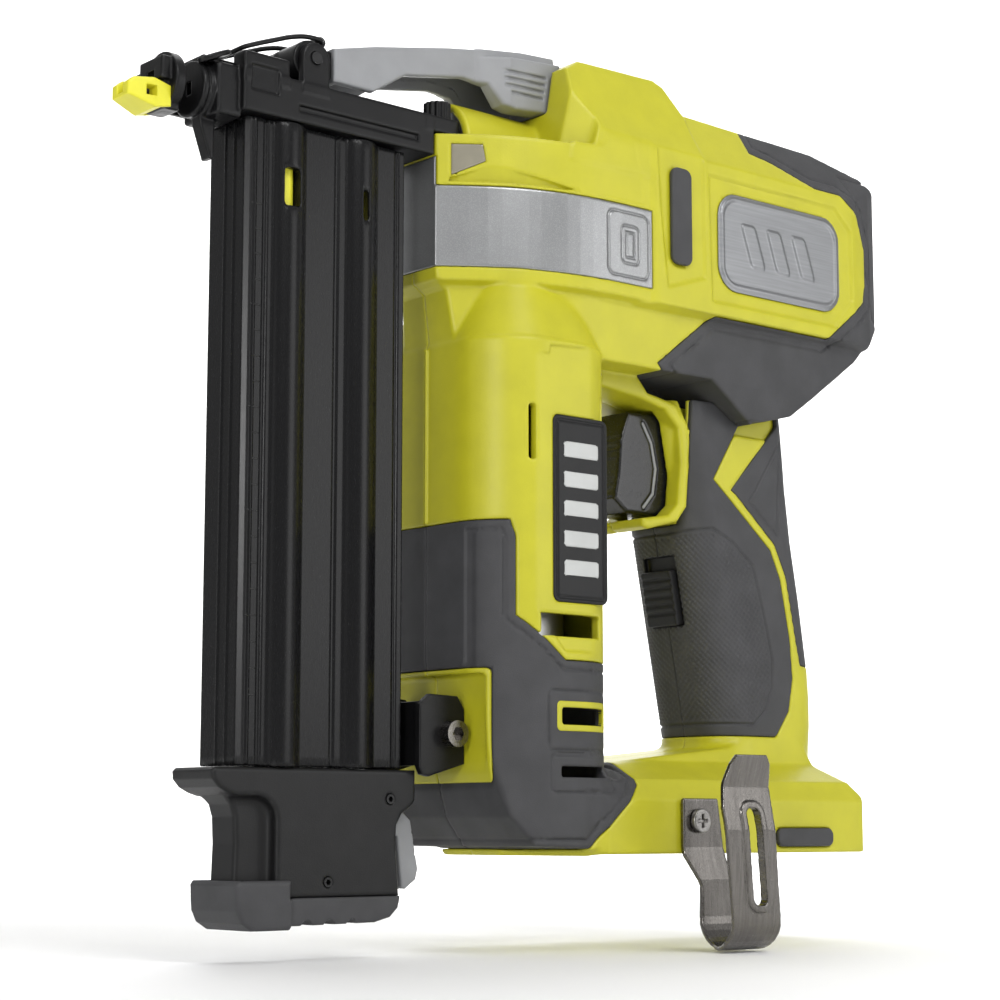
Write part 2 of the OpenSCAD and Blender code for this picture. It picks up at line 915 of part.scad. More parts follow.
// Belt hook strip, drawn in Y and Z and given its width along X.
module belt_hook()
    color(steel)
        difference() {
            front_slab(concat(
                [[hook_seat - hook_t - 0.1, 20], [hook_seat - hook_t - 0.1, 2], [-42, -8]],
                arc([-51, -20], 9, 0, -180, 12),
                [[-62, 8], [-61, 22], [-64, 32]],
                [[-65.6, 32], [-62.5, 22], [-63.5, 8]],
                arc([-51, -20], 10.5, -180, 0, 12),
                [[-40.4, -8], [hook_seat - 0.1, 2], [hook_seat - 0.1, 20]]), -35, -35 + hook_w);
            y_rod(hook_x, -60, -20, hook_z, 2.6);
            box([-31, -70, -12], [-25.5, -55, 14]);
        }

module belt_hook_screw()
    color(steel)
        union() {
            y_rod(hook_x, hook_seat - hook_t - 2.2, hook_seat - hook_t - 0.1, hook_z, 4);
            y_rod(hook_x, hook_seat - hook_t - 1, hook_seat + 6, hook_z, 2);
        }

// ---------- motor, gearing and pump ----------

module motor_can()
    color(steel)
        difference() {
            x_rod(22, 69, 0, motor_z, 19);
            x_rod(24, 67, 0, motor_z, 17.2);
            x_rod(0, 90, 0, motor_z, 4);
        }

module motor_rotor()
    color(hidden_red)
        union() {
            x_rod(27, 64, 0, motor_z, 14.5);
            x_rod(12, 78, 0, motor_z, 2.5);
        }

module motor_fan()
    color(black)
        difference() {
            union() {
                x_rod(71.5, 73, 0, motor_z, 16);
                for (a = [0:36:324])
                    translate([0, 0, motor_z])
                        rotate([a, 0, 0])
                            box([72.5, -0.6, 5], [76.5, 0.6, 15.5]);
                x_rod(71.5, 76.5, 0, motor_z, 6);
            }
            x_rod(60, 90, 0, motor_z, 2.5);
        }

module gearbox_case()
    color(silver)
        difference() {
            x_rod(-13.5, 21.5, 0, motor_z, 21);
            x_rod(-11, 19, 0, motor_z, 18.5);
            x_rod(-30, 30, 0, motor_z, 4.1);
        }

tooth_up = 0.8;
tooth_down = 1.1;
// Half widths of a tooth's root and tip, as shares of the tooth pitch.
tooth_root = 0.24;
tooth_tip = 0.12;

function tooth_point(pitch, n, k, share, rise) =
    (pitch + rise) * [cos(360 * (k + share) / n), sin(360 * (k + share) / n)];

function gear_outline(pitch, n) = [for (k = [0:n - 1])
    each [tooth_point(pitch, n, k, -tooth_root, -tooth_down), tooth_point(pitch, n, k, -tooth_tip, tooth_up),
        tooth_point(pitch, n, k, tooth_tip, tooth_up), tooth_point(pitch, n, k, tooth_root, -tooth_down)]];

module gear(pitch, n, x0, x1, z, turn)
    translate([x0, 0, z])
        rotate([90, 0, 90])
            rotate([0, 0, turn])
                linear_extrude(height = x1 - x0)
                    polygon(gear_outline(pitch, n));

module output_pinion()
    color(steel)
        union() {
            gear(pinion_r, 10, gear_x, gear_x + gear_w, motor_z, 18);
            x_rod(gear_x + gear_w - 1, 8, 0, motor_z, 4);
            x_rod(-8, 6, 0, motor_z, 12);
        }

module crankshaft()
    color(steel)
        union() {
            gear(crank_gear_r, 30, gear_x, gear_x + gear_w, crank_z, 0);
            x_rod(web_x, gear_x + 1, 0, crank_z, 5);
            x_rod(web_x - 6, web_x, 0, crank_z, 17);
            x_rod(web_x - 6 - 4.6, web_x - 5, 0, crank_pin_z, 3.4);
        }

module con_rod()
    color(silver)
        difference() {
            union() {
                x_rod(pump_x - 9.5, pump_x - 3, 0, crank_pin_z, 6.4);
                x_rod(pump_x - 9.5, pump_x - 3, 0, wrist_z, 6);
                box([pump_x - 8.5, -3.4, wrist_z], [pump_x - 4, 3.4, crank_pin_z]);
            }
            x_rod(pump_x - 20, pump_x + 20, 0, wrist_z, 3.05);
            x_rod(pump_x - 20, pump_x + 20, 0, crank_pin_z, 3.5);
        }

module pump_piston()
    color(silver)
        difference() {
            z_rod(pump_x, 0, wrist_z - 14, wrist_z + 8, pump_bore_r - 0.05);
            box([pump_x - 11, -14, wrist_z - 8], [pump_x + 11, 14, wrist_z + 20]);
            x_rod(pump_x - 17, pump_x + 17, 0, wrist_z, 3);
        }

module wrist_pin()
    color(steel)
        x_rod(pump_x - 16, pump_x + 16, 0, wrist_z, 3);

module pump_cylinder()
    color(silver)
        difference() {
            z_rod(pump_x, 0, 58, 150, pump_bore_r + 2);
            z_rod(pump_x, 0, 62, 151, pump_bore_r);
        }

module transfer_tube()
    color(steel)
        union() {
            z_rod(pump_x, 26.6, 62, 226, 2.4);
            y_rod(pump_x, 13.5, 26.6, 226, 2.4);
            translate([pump_x, 26.6, 226])
                sphere(r = 2.4, $fn = 24);
        }

module drive_cylinder()
    color(silver)
        difference() {
            x_rod(-107, -22.6, 0, drive_z, drive_out_r);
            x_rod(-103.6, -25, 0, drive_z, drive_bore_r);
            x_rod(-110, -100, 0, drive_z, 3.2);
        }

module drive_bumper()
    color(hidden_red)
        difference() {
            x_rod(-103.6, -103, 0, drive_z, drive_bore_r - 0.5);
            x_rod(-110, -90, 0, drive_z, 4);
        }

module drive_piston()
    color(silver)
        x_rod(piston_rear - piston_len, piston_rear, 0, drive_z, drive_bore_r - 0.05);

module driver_blade()
    color(steel)
        box([blade_tip, -0.8, drive_z - 1.6], [piston_rear - piston_len, 0.8, drive_z + 1.6]);

left_housing();
right_housing();
left_boot();
right_boot();
left_rear_cap();
right_rear_cap();
left_handle_grip();
right_handle_grip();
gauge_band();
badge_plates();
label_plates();
side_bumpers();
foot_bumpers();
led_lenses();
housing_screws();
nose_frame();
nose_plate_screws();
magazine_rail();
magazine_bracket();
bracket_bolt();
bracket_nut();
belt_hook();
belt_hook_screw();
terminal_block();
terminal_blades();
control_board();
switch_body();
motor_can();
motor_rotor();
motor_fan();
gearbox_case();
output_pinion();
crankshaft();
con_rod();
pump_piston();
wrist_pin();
pump_cylinder();
transfer_tube();
drive_cylinder();
drive_bumper();
drive_piston();
driver_blade();
trigger();
trigger_spring();
mode_switch();
contact_arm();
no_mar_tip();
depth_wheel();
jam_latch();
latch_cam();
latch_pin();
wire_bail();
nose_door();
magazine_cover();
magazine_end_cap();
end_cap_screws();
magazine_boot();
release_lever();
lever_pin();
nail_pusher();
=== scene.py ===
"""Looks of the cordless brad nailer. Shapes are in millimetres, and the camera, floor and lights in metres."""
import json
import math

import bmesh
import bpy
import numpy as np
from mathutils import Matrix, Vector
from numpy import maximum, minimum


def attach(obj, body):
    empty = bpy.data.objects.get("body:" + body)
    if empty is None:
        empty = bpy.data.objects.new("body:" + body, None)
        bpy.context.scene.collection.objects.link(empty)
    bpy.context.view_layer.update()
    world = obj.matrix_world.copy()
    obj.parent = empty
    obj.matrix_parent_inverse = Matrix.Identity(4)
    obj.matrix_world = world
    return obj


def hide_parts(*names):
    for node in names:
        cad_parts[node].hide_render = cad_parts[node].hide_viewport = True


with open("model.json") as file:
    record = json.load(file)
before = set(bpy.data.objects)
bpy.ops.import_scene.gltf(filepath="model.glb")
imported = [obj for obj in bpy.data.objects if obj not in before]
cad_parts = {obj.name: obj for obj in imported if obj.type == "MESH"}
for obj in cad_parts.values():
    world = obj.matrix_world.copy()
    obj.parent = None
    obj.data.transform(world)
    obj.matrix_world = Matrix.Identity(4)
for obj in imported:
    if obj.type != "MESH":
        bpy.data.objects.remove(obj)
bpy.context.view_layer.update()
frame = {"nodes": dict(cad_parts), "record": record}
MM = 0.001
GAP = 0.12  # between pieces that meet

# ---------- camera ----------

camera = bpy.data.objects.new("camera", bpy.data.cameras.new("camera"))
bpy.context.scene.collection.objects.link(camera)
bpy.context.scene.camera = camera
# solved from edges that are parallel in the real object
camera.data.sensor_width = 36
camera.data.lens = 82.08
camera.data.clip_end = 50
bpy.context.scene.view_settings.view_transform = "Standard"
camera.location = (-0.569757, -0.573341, 0.009)
HEADING = math.radians(49.5)
PITCH = math.radians(8.16)
camera.rotation_euler = (math.pi / 2 + PITCH, 0, HEADING - math.pi / 2)

# ---------- distance fields: negative inside, arrays that broadcast ----------


def smax(a, b, k=0.0):
    """The larger of two fields, rounded over k."""
    m = maximum(a, b)
    if k:
        m = m + maximum(k - abs(a - b), 0) ** 2 / (4 * k)
    return m


def allof(k, *fields):
    """What lies inside every field."""
    out = fields[0]
    for f in fields[1:]:
        out = smax(out, f, k)
    return out


def anyof(k, *fields):
    """What lies inside at least one field."""
    return -allof(k, *[-f for f in fields])


def cut(k, field, *removed):
    return allof(k, field, *[-r for r in removed])


def span(c, low, high):
    return maximum(low - c, c - high)


def block(x, y, z, low, high, k=0.0):
    return allof(k, span(x, low[0], high[0]), span(y, low[1], high[1]), span(z, low[2], high[2]))


def rod(u, v, cu, cv, r):
    return np.hypot(u - cu, v - cv) - r


def curved(points, rounds):
    """Points of an open line with its inner corners cut, again and again."""
    for _ in range(rounds):
        inner = [[(w * a[0] + (1 - w) * b[0], w * a[1] + (1 - w) * b[1]) for w in (0.75, 0.25)]
                 for a, b in zip(points, points[1:])]
        line = [p for pair in inner for p in pair]
        points = [points[0], *line[1:-1], points[-1]]
    return points


def near_line(u, v, a, b):
    """Squared distance from the line between two points."""
    ex, ey = b[0] - a[0], b[1] - a[1]
    wx, wy = u - a[0], v - a[1]
    t = np.clip((wx * ex + wy * ey) / (ex * ex + ey * ey), 0, 1)
    return (wx - ex * t) ** 2 + (wy - ey * t) ** 2


def polygon(u, v, points):
    """Distance from a closed outline."""
    u, v = np.broadcast_arrays(u, v)
    near = np.full(u.shape, 1e9, np.float32)
    inside = np.zeros(u.shape, bool)
    for (ax, ay), (bx, by) in zip(points, [*points[1:], points[0]]):
        near = minimum(near, near_line(u, v, (ax, ay), (bx, by)))
        if ay != by:
            inside ^= ((ay > v) != (by > v)) & (u < (bx - ax) * (v - ay) / (by - ay) + ax)
    return np.where(inside, -1, 1) * np.sqrt(near)


def rounded(u, v, low, high, r):
    """Rectangle with round corners."""
    cu, cv = (low[0] + high[0]) / 2, (low[1] + high[1]) / 2
    qu = abs(u - cu) - (high[0] - low[0]) / 2 + r
    qv = abs(v - cv) - (high[1] - low[1]) / 2 + r
    return np.hypot(maximum(qu, 0), maximum(qv, 0)) + minimum(maximum(qu, qv), 0) - r


def path(u, v, points, r):
    """A stroke of radius r along points."""
    u, v = np.broadcast_arrays(u, v)
    near = np.full(u.shape, 1e9, np.float32)
    for a, b in zip(points, points[1:]):
        near = minimum(near, near_line(u, v, a, b))
    return np.sqrt(near) - r


def groove(line, form, half, deep):
    """A groove along a line of the surface."""
    return maximum(abs(line) - half, -(form + deep))


def recess(outline, x, a, z, slope, deep, k):
    """A recess in the side, its edges sloping."""
    return smax(polygon(x, z, outline) - slope * (a - deep[0]), deep[1] - a, k)


# ---------- surface of a field: a point in each cell, where its faces meet ----------

GRID_SHIFT = 1.37  # in cells: keeps the grid's planes off the flat faces
SLAB = 24  # planes of the grid worked out at a time
NUDGE = 0.02  # the step that slopes are measured over
HOLD = 0.06  # how firmly a point is held to the middle of its crossings


def contour(field, low, high, size):
    """Vertices and quads of a field's surface, in cells of the given size."""
    h = np.array([size] * 3 if np.isscalar(size) else size, float)
    count = [int(math.ceil((high[k] - low[k]) / h[k])) + 3 for k in range(3)]
    start = np.array([low[k] - GRID_SHIFT * h[k] for k in range(3)])
    X, Y, Z = [(start[k] + h[k] * np.arange(count[k])).astype(np.float32) for k in range(3)]
    values = np.empty(count, np.float32)
    for a in range(0, count[0], SLAB):
        values[a:a + SLAB] = field(X[a:a + SLAB, None, None], Y[None, :, None], Z[None, None, :])
    inside = values < 0
    cells = [c - 1 for c in count]
    ids, points, quads = [], [], []
    for axis in range(3):
        b1, b2 = (axis + 1) % 3, (axis + 2) % 3
        lo = [slice(None)] * 3
        hi = [slice(None)] * 3
        lo[axis] = slice(0, -1)
        hi[axis] = slice(1, None)
        first, second = inside[tuple(lo)], inside[tuple(hi)]
        at = np.argwhere(first != second)
        at = at[(at[:, b1] > 0) & (at[:, b2] > 0) & (at[:, b1] < cells[b1]) & (at[:, b2] < cells[b2])]
        step = np.zeros(3, int)
        step[axis] = 1
        v0 = values[tuple(at.T)]
        v1 = values[tuple((at + step).T)]
        share = v0 / (v0 - v1)
        where = at + share[:, None] * step
        forward = inside[tuple(at.T)]
        around = []
        for d1, d2 in ((-1, -1), (0, -1), (0, 0), (-1, 0)):
            c = at.copy()
            c[:, b1] += d1
            c[:, b2] += d2
            around.append((c[:, 0] * cells[1] + c[:, 1]) * cells[2] + c[:, 2])
        around = np.stack(around, 1)
        quads.append(np.where(forward[:, None], around, around[:, ::-1]))
        points.append(np.repeat(where, 4, 0))
        ids.append(around.reshape(-1))
    cell_of = np.concatenate(ids)
    crossing = np.concatenate(points)
    place = (start + crossing * h).astype(np.float32)
    single = place[::4]
    base = field(single[:, 0], single[:, 1], single[:, 2])
    grad = np.stack([field(*[single[:, j] + (NUDGE if j == k else 0) for j in range(3)]) - base
                     for k in range(3)], 1)
    grad /= np.linalg.norm(grad, axis=1, keepdims=True) + 1e-9
    normal = np.repeat(grad, 4, 0).astype(float)
    used, cell = np.unique(cell_of, return_inverse=True)
    n = len(used)
    corner = np.stack([used // (cells[1] * cells[2]), used // cells[2] % cells[1], used % cells[2]], 1)
    middle = start + (corner + 0.5) * h
    rel = place.astype(float) - middle[cell]
    total = np.bincount(cell, minlength=n)
    mass = np.stack([np.bincount(cell, rel[:, k], n) for k in range(3)], 1) / total[:, None]
    rel -= mass[cell]
    off = (normal * rel).sum(1)
    A = np.empty((n, 3, 3))
    B = np.empty((n, 3))
    for i in range(3):
        B[:, i] = np.bincount(cell, normal[:, i] * off, n)
        for j in range(3):
            A[:, i, j] = np.bincount(cell, normal[:, i] * normal[:, j], n)
    A[:, range(3), range(3)] += HOLD * total[:, None] / 4
    spot = mass + np.linalg.solve(A, B[:, :, None])[:, :, 0]
    spot = np.clip(spot, -0.5 * h, 0.5 * h) + middle
    order = np.searchsorted(used, np.concatenate(quads))
    return spot, order


def mesh_of(name, verts, quads):
    mesh = bpy.data.meshes.new(name)
    mesh.vertices.add(len(verts))
    mesh.vertices.foreach_set("co", (verts * MM).astype(np.float32).ravel())
    mesh.loops.add(quads.size)
    mesh.loops.foreach_set("vertex_index", quads.astype(np.int32).ravel())
    mesh.polygons.add(len(quads))
    mesh.polygons.foreach_set("loop_start", np.arange(0, quads.size, 4, dtype=np.int32))
    mesh.update(calc_edges=True)
    return mesh


def add_piece(name, mesh, body, slot, mat, node):
    """Puts a piece on its body. It stands for the CAD node of its own name, where there is one, or for node."""
    mesh.polygons.foreach_set("use_smooth", np.ones(len(mesh.polygons), bool))
    mesh.materials.append(mat or SLOT_LOOKS[slot])
    obj = bpy.data.objects.new(name, mesh)
    bpy.context.scene.collection.objects.link(obj)
    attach(obj, body)
    node = node or name
    if node in frame["nodes"]:
        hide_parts(node)


def solid(name, field, low, high, size, slot, body="tool", mat=None, mirrored=None, hidden=None):
    """A piece from a field. mirrored names its twin on the other side."""
    verts, quads = contour(field, low, high, size)
    mesh = mesh_of(name, verts, quads)
    if hidden is not None:
        simplify(mesh, hidden)
    if mirrored:
        twin = mesh.copy()
        twin.transform(Matrix.Diagonal((1, -1, 1, 1)))
        twin.flip_normals()
        add_piece(mirrored, twin, body, slot, mat, None)
    add_piece(name, mesh, body, slot, mat, None)


HIDDEN_REACH = 0.25  # a face closer than this to hidden's surface is on it
FLAT_ENOUGH = math.radians(9)


def simplify(mesh, hidden):
    """Merges the faces of the surfaces inside the housing, where hidden is near zero."""
    bm = bmesh.new()
    bm.from_mesh(mesh)
    middle = np.array([f.calc_center_median()[:] for f in bm.faces]) / MM
    near = abs(hidden(middle[:, 0], middle[:, 1], middle[:, 2])) < HIDDEN_REACH
    inner = {f.index for f, close in zip(bm.faces, near) if close}

    def within(elements):
        return [e for e in elements if e.link_faces and all(f.index in inner for f in e.link_faces)]

    bmesh.ops.dissolve_limit(bm, angle_limit=FLAT_ENOUGH, verts=within(bm.verts), edges=within(bm.edges))
    bmesh.ops.triangulate(bm, faces=[f for f in bm.faces if len(f.verts) > 4])
    bm.to_mesh(mesh)
    bm.free()


SIDES = 20


def tube(name, points, radius, body, slot, node=None):
    """Round wire along points, its ends closed."""
    points = [Vector(p) for p in points]
    bm = bmesh.new()
    rings = []
    side = Vector((0, 1, 0))
    for k, p in enumerate(points):
        along = (points[min(k + 1, len(points) - 1)] - points[max(k - 1, 0)]).normalized()
        if abs(along.dot(side)) > 0.95:
            side = Vector((0, 0, 1))
        across = (side - along * side.dot(along)).normalized()
        other = along.cross(across)
        side = across
        rings.append([bm.verts.new((p + radius * (math.cos(a) * across + math.sin(a) * other)) * MM)
                      for a in [2 * math.pi * j / SIDES for j in range(SIDES)]])
    for one, two in zip(rings, rings[1:]):
        for j in range(SIDES):
            bm.faces.new((one[j], one[(j + 1) % SIDES], two[(j + 1) % SIDES], two[j]))
    bm.faces.new(rings[0][::-1])
    bm.faces.new(rings[-1])
    bmesh.ops.recalc_face_normals(bm, faces=bm.faces)
    mesh = bpy.data.meshes.new(name)
    bm.to_mesh(mesh)
    bm.free()
    add_piece(name, mesh, body, slot, None, node)


def rounded_route(points, radius, steps=6):
    """Points with each inner corner turned into an arc-like curve."""
    route = [Vector(points[0])]
    for a, b, c in zip(points, points[1:], points[2:]):
        a, b, c = Vector(a), Vector(b), Vector(c)
        r = min(radius, (a - b).length / 2, (c - b).length / 2)
        p, q = b + (a - b).normalized() * r, b + (c - b).normalized() * r
        for k in range(steps + 1):
            t = k / steps
            route.append(p * (1 - t) ** 2 + b * 2 * t * (1 - t) + q * t ** 2)
    route.append(Vector(points[-1]))
    return route


# ---------- materials ----------


def finish(name, colour, rough, metal=0.0, vary=0.10, patch=90, grain=2200, bump=0.25, depth=0.00012,
           spread=0.10, edge_highlight=0.25, coat=0.0, stretch=(1, 1, 1), speckle=0.0, spec=0.5):
    """Colour that varies in patches, grain in the bump and roughness, and a painted highlight that lightens the
    edges.
    """
    mat = bpy.data.materials.new(name)
    mat.use_nodes = True
    nodes, links = mat.node_tree.nodes, mat.node_tree.links
    shader = nodes["Principled BSDF"]
    shader.inputs["Metallic"].default_value = metal
    shader.inputs["Coat Weight"].default_value = coat
    shader.inputs["Specular IOR Level"].default_value = spec
    coord = nodes.new("ShaderNodeTexCoord")
    scale = nodes.new("ShaderNodeMapping")
    scale.inputs["Scale"].default_value = stretch
    links.new(coord.outputs["Object"], scale.inputs["Vector"])

    def noise(size, detail):
        node = nodes.new("ShaderNodeTexNoise")
        node.inputs["Scale"].default_value = size
        node.inputs["Detail"].default_value = detail
        links.new(scale.outputs["Vector"], node.inputs["Vector"])
        return node.outputs["Fac"]

    def ramp(source, low, high, a, b):
        node = nodes.new("ShaderNodeValToRGB")
        for stop, position, shade in zip(node.color_ramp.elements, (low, high), (a, b)):
            stop.position = position
            stop.color = (*shade, 1)
        links.new(source, node.inputs["Fac"])
        return node.outputs["Color"]

    def mixed(factor, a, b, blend="MIX"):
        node = nodes.new("ShaderNodeMix")
        node.data_type = "RGBA"
        node.blend_type = blend
        if isinstance(factor, float):
            node.inputs["Factor"].default_value = factor
        else:
            links.new(factor, node.inputs["Factor"])
        for socket, value in ((node.inputs[6], a), (node.inputs[7], b)):
            if isinstance(value, tuple):
                socket.default_value = (*value, 1)
            else:
                links.new(value, socket)
        return node.outputs[2]

    dim = tuple(c * (1 - vary) for c in colour)
    lit = tuple(min(1.0, c * (1 + vary)) for c in colour)
    colours = ramp(noise(patch, 5), 0.35, 0.68, dim, lit)
    fine = noise(grain, 3)
    if speckle:
        dots = ramp(noise(grain * 0.9, 1), 0.52, 0.62, (1 - speckle,) * 3, (1 + speckle,) * 3)
        colours = mixed(1.0, colours, dots, "MULTIPLY")
    # painted highlight: convex edges, found by pointiness, are made lighter to stand in for the light that catches
    # them
    if edge_highlight:
        geometry = nodes.new("ShaderNodeNewGeometry")
        edge = ramp(geometry.outputs["Pointiness"], 0.53, 0.62, (0, 0, 0), (edge_highlight,) * 3)
        highlight_colour = tuple(min(1.0, c * 1.35 + 0.03) for c in colour)
        colours = mixed(edge, colours, highlight_colour)
    links.new(colours, shader.inputs["Base Color"])
    levels = nodes.new("ShaderNodeMapRange")
    for k, value in enumerate((0.3, 0.7, rough - spread / 2, rough + spread / 2), 1):
        levels.inputs[k].default_value = value
    links.new(fine, levels.inputs["Value"])
    links.new(levels.outputs["Result"], shader.inputs["Roughness"])
    relief = nodes.new("ShaderNodeBump")
    relief.inputs["Strength"].default_value = bump
    relief.inputs["Distance"].default_value = depth
    links.new(fine, relief.inputs["Height"])
    links.new(relief.outputs["Normal"], shader.inputs["Normal"])
    return mat


yellow = finish("moulded_yellow", (0.50, 0.475, 0.016), 0.42, vary=0.045, bump=0.30, edge_highlight=0.30)
rubber = finish("soft_rubber", (0.050, 0.050, 0.053), 0.60, vary=0.12, grain=3000, bump=0.5, edge_highlight=0.30, spec=0.4)
plastic = finish("black_plastic", (0.009, 0.009, 0.0095), 0.40, spec=0.28, vary=0.15, bump=0.3, edge_highlight=0.30)
coated = finish("black_coating", (0.006, 0.006, 0.0065), 0.32, spec=0.24, vary=0.15, grain=3500, bump=0.3, edge_highlight=0.45)
anodised = finish("black_anodised", (0.005, 0.005, 0.0055), 0.27, spec=0.22, vary=0.06, grain=900, bump=0.05,
                  spread=0.04, stretch=(6, 6, 0.35), edge_highlight=0.35)
silver = finish("speckled_silver", (0.33, 0.335, 0.34), 0.34, metal=0.75, vary=0.04, grain=3600, speckle=0.10,
                bump=0.25, edge_highlight=0.35)
grey = finish("latch_grey", (0.27, 0.275, 0.285), 0.45, vary=0.05, grain=2600, bump=0.3, edge_highlight=0.25)
steel = finish("brushed_steel", (0.30, 0.29, 0.28), 0.30, metal=1.0, vary=0.10, grain=700, bump=0.10,
               stretch=(1, 1, 12), edge_highlight=0.30)
hook_steel = finish("hook_steel", (0.17, 0.16, 0.15), 0.24, metal=1.0, vary=0.14, grain=800, bump=0.16,
                    stretch=(14, 1, 1), spread=0.16, edge_highlight=0.35)
plate_steel = finish("brushed_plate", (0.27, 0.275, 0.285), 0.36, metal=0.75, vary=0.08, grain=650, bump=0.12,
                     stretch=(0.5, 1, 14), edge_highlight=0.2)
alloy = finish("machined_alloy", (0.42, 0.42, 0.43), 0.36, metal=1.0, vary=0.06, grain=900, bump=0.15)
lens = finish("smoked_lens", (0.27, 0.25, 0.19), 0.18, vary=0.10, grain=900, bump=0.12, coat=0.6)
tip = finish("no_mar_rubber", (0.72, 0.68, 0.03), 0.42, vary=0.05, grain=2600, bump=0.25)
gloss = finish("gloss_black", (0.009, 0.009, 0.010), 0.24, vary=0.12, grain=2600, bump=0.15, edge_highlight=0.15)
copper = finish("windings", (0.25, 0.10, 0.05), 0.45, metal=0.4, grain=900, vary=0.3, bump=0.5)
board = finish("circuit_board", (0.03, 0.12, 0.06), 0.35, grain=600, vary=0.3, bump=0.4)
buffer_red = finish("buffer", (0.25, 0.06, 0.04), 0.55, grain=1800, vary=0.1)
pale_ink = finish("pale_ink", (0.50, 0.51, 0.50), 0.5, vary=0.05, grain=2600, bump=0.2, edge_highlight=0.0)
tick_ink = finish("tick_ink", (0.004, 0.004, 0.004), 0.5, vary=0.05, grain=2600, bump=0.2, edge_highlight=0.0)

SLOT_LOOKS = {"housing_yellow": yellow, "overmould": rubber, "black_plastic": plastic, "black_metal": coated,
              "black_anodised": anodised, "cast_silver": silver, "latch_grey": grey, "bright_steel": steel,
              "bare_aluminium": alloy, "lens": lens, "tip_yellow": tip, "windings": copper, "circuit": board,
              "buffer": buffer_red}
NODE_LOOKS = {"latch_pin": coated, "end_cap_screws": coated, "housing_screws": hook_steel,
              "bracket_bolt": hook_steel, "bracket_nut": hook_steel}
for part in frame["record"]["subparts"]:
    looks = frame["nodes"][part["node"]].data.materials
    looks.clear()
    looks.append(NODE_LOOKS.get(part["node"], SLOT_LOOKS[part["material_slot"]]))

# ---------- outer form of the housing ----------

# Axes and places that several pieces share
DRIVE_Z = 232.5
LATCH_PIN = (-166, 248)
WHEEL_AXIS = (-113, -6.5)
LEVER_PIN = (-129.5, 12.5)
BRACKET_BOLT = (-113, 38)
HOOK_SCREW = (-28, 11)
HOUSING_SCREWS = [(-62, 158, 33), (-4, 176, 33), (0, 248, 28), (-46, 254, 22), (-30, 19, 30), (75, 238, 25),
                  (42, 174, 32)]
SPRING_Z, SPRING_R, SPRING_TURNS = 138, 2.6, 8
WALL = 2.6  # thickness of the mouldings
SPLIT = 0.08  # from a skin piece to the middle plane

# Outlines: _SIDE in x and z, _PLAN in x and y, _END in y and z
HEAD_SIDE = [(-118, 187.5), (-117.6, 185), (-113, 182), (-110.5, 163), (-8, 163), (14, 150), (34, 155), (46, 164),
             (65, 178), (79, 193), (86, 210), (86, 226), (82, 240), (73, 250), (50, 256), (-20, 258), (-61, 258),
             (-68, 233.5), (-118, 233.5)]
HEAD_PLAN = [(-118, -50), *curved([(-118, 12), (-102, 23.8), (-86, 31), (-66, 34.8), (-43, 34.8)], 2), (-38.5, 36),
             *curved([(60, 36), (81, 31), (86, 14)], 2), (86, -50)]
HEAD_END = [(-50, 148), (26, 148), (29.5, 163), (31.2, 182.6), (36, 184.6), (36, 238), (23, 258.5), (-50, 258.5)]
HUMP_SIDE = [(-77, 228), (-71, 263), (-63.5, 267.6), (-27.5, 268.8), (-23.5, 266.8), (-17.5, 255), (-17.5, 228)]
FACET = [(-95, 234.4), (-64.5, 234.4), (-61.5, 237.5), (-75.5, 262), (-84, 270), (-95, 270)]
UNDER_LENS = [(-114.5, 217.4), (-114, 218.6), (-103, 222.6), (-72, 217.2)]
FRONT_STEP = [(-60, 300), (-50.7, 246.9), (-44.3, 218.9), (-43.5, 216.2), (-120, 216.2), (-120, 300)]
HUMP_END = [(-50, 225), (36, 225), (36, 236), (20, 271), (-50, 271)]
BOOT_SIDE = [(-112, 192), (-55, 192), (-55, 24), (-58, 12), (-72, 2), (-96, 3), (-103, 12), (-107, 26), (-112, 62)]
FOOT_SIDE = [(-92, 0), (66.2, 0), (66.2, 8), (65, 10.4), (51, 28), (44.5, 36.5), (38, 39.5), (-52, 30),
             (-58, 24), (-92, 24)]
FOOT_PLAN = [(-92, -50), (-92, 14), (-66, 38), (56, 38), (66.2, 29), (66.2, -50)]
FOOT_END = [(-50, 0), (38, 0), (38, 17.5), (33.5, 24.5), (21, 31), (18, 38), (-50, 38)]
GUARD = [(-50, 166), (-34, 166), (-27, 158), (-13, 155.5), (-8, 148), (-7, 134), (-8.4, 119.5), (-13, 114),
         (-27, 110.3), (-30, 111), (-30, 113.8), (-17.5, 116), (-12.8, 120.2), (-11, 135), (-12.2, 147),
         (-18.5, 153), (-30.5, 155.6), (-50, 157.6)]
HANDLE_REAR_Z = [28, 38, 45, 55, 66, 90, 111, 130, 150, 175]
HANDLE_REAR_X = [54, 54.5, 55.2, 55.2, 54.5, 51, 47.2, 45.2, 45, 45]
LEAN = math.radians(11)
LEAN_FOOT = 60


def leaning(x, z):
    """Coordinates along and across the handle."""
    u = x * math.cos(LEAN) + (z - LEAN_FOOT) * math.sin(LEAN)
    w = -x * math.sin(LEAN) + (z - LEAN_FOOT) * math.cos(LEAN)
    return u, w


def handle(x, y, z):
    u, _ = leaning(x, z)
    rear = x - np.interp(z, HANDLE_REAR_Z, HANDLE_REAR_X)
    return allof(11, rounded(u, y, (1.5, -19.5), (64, 19.5), 14), rear.astype(np.float32))


def head(x, y, z):
    a = abs(y)
    neck_step = 3.2 * np.clip((184.6 - z) / 1.4, 0, 1)
    plan = polygon(x, a, HEAD_PLAN)
    lower = allof(0.8, plan + neck_step * np.clip((-45 - x) / 4, 0, 1), polygon(a, z, HEAD_END))
    body = allof(0.9, polygon(x, z, HEAD_SIDE), lower)
    below_lens = smax(polygon(x, z, UNDER_LENS), -(plan + 0.42 * (222.4 - z)), 0.2)
    return cut(0.4, body, below_lens, recess(FRONT_STEP, x, a, z, 0.7, (36, 34.6), 0.2))


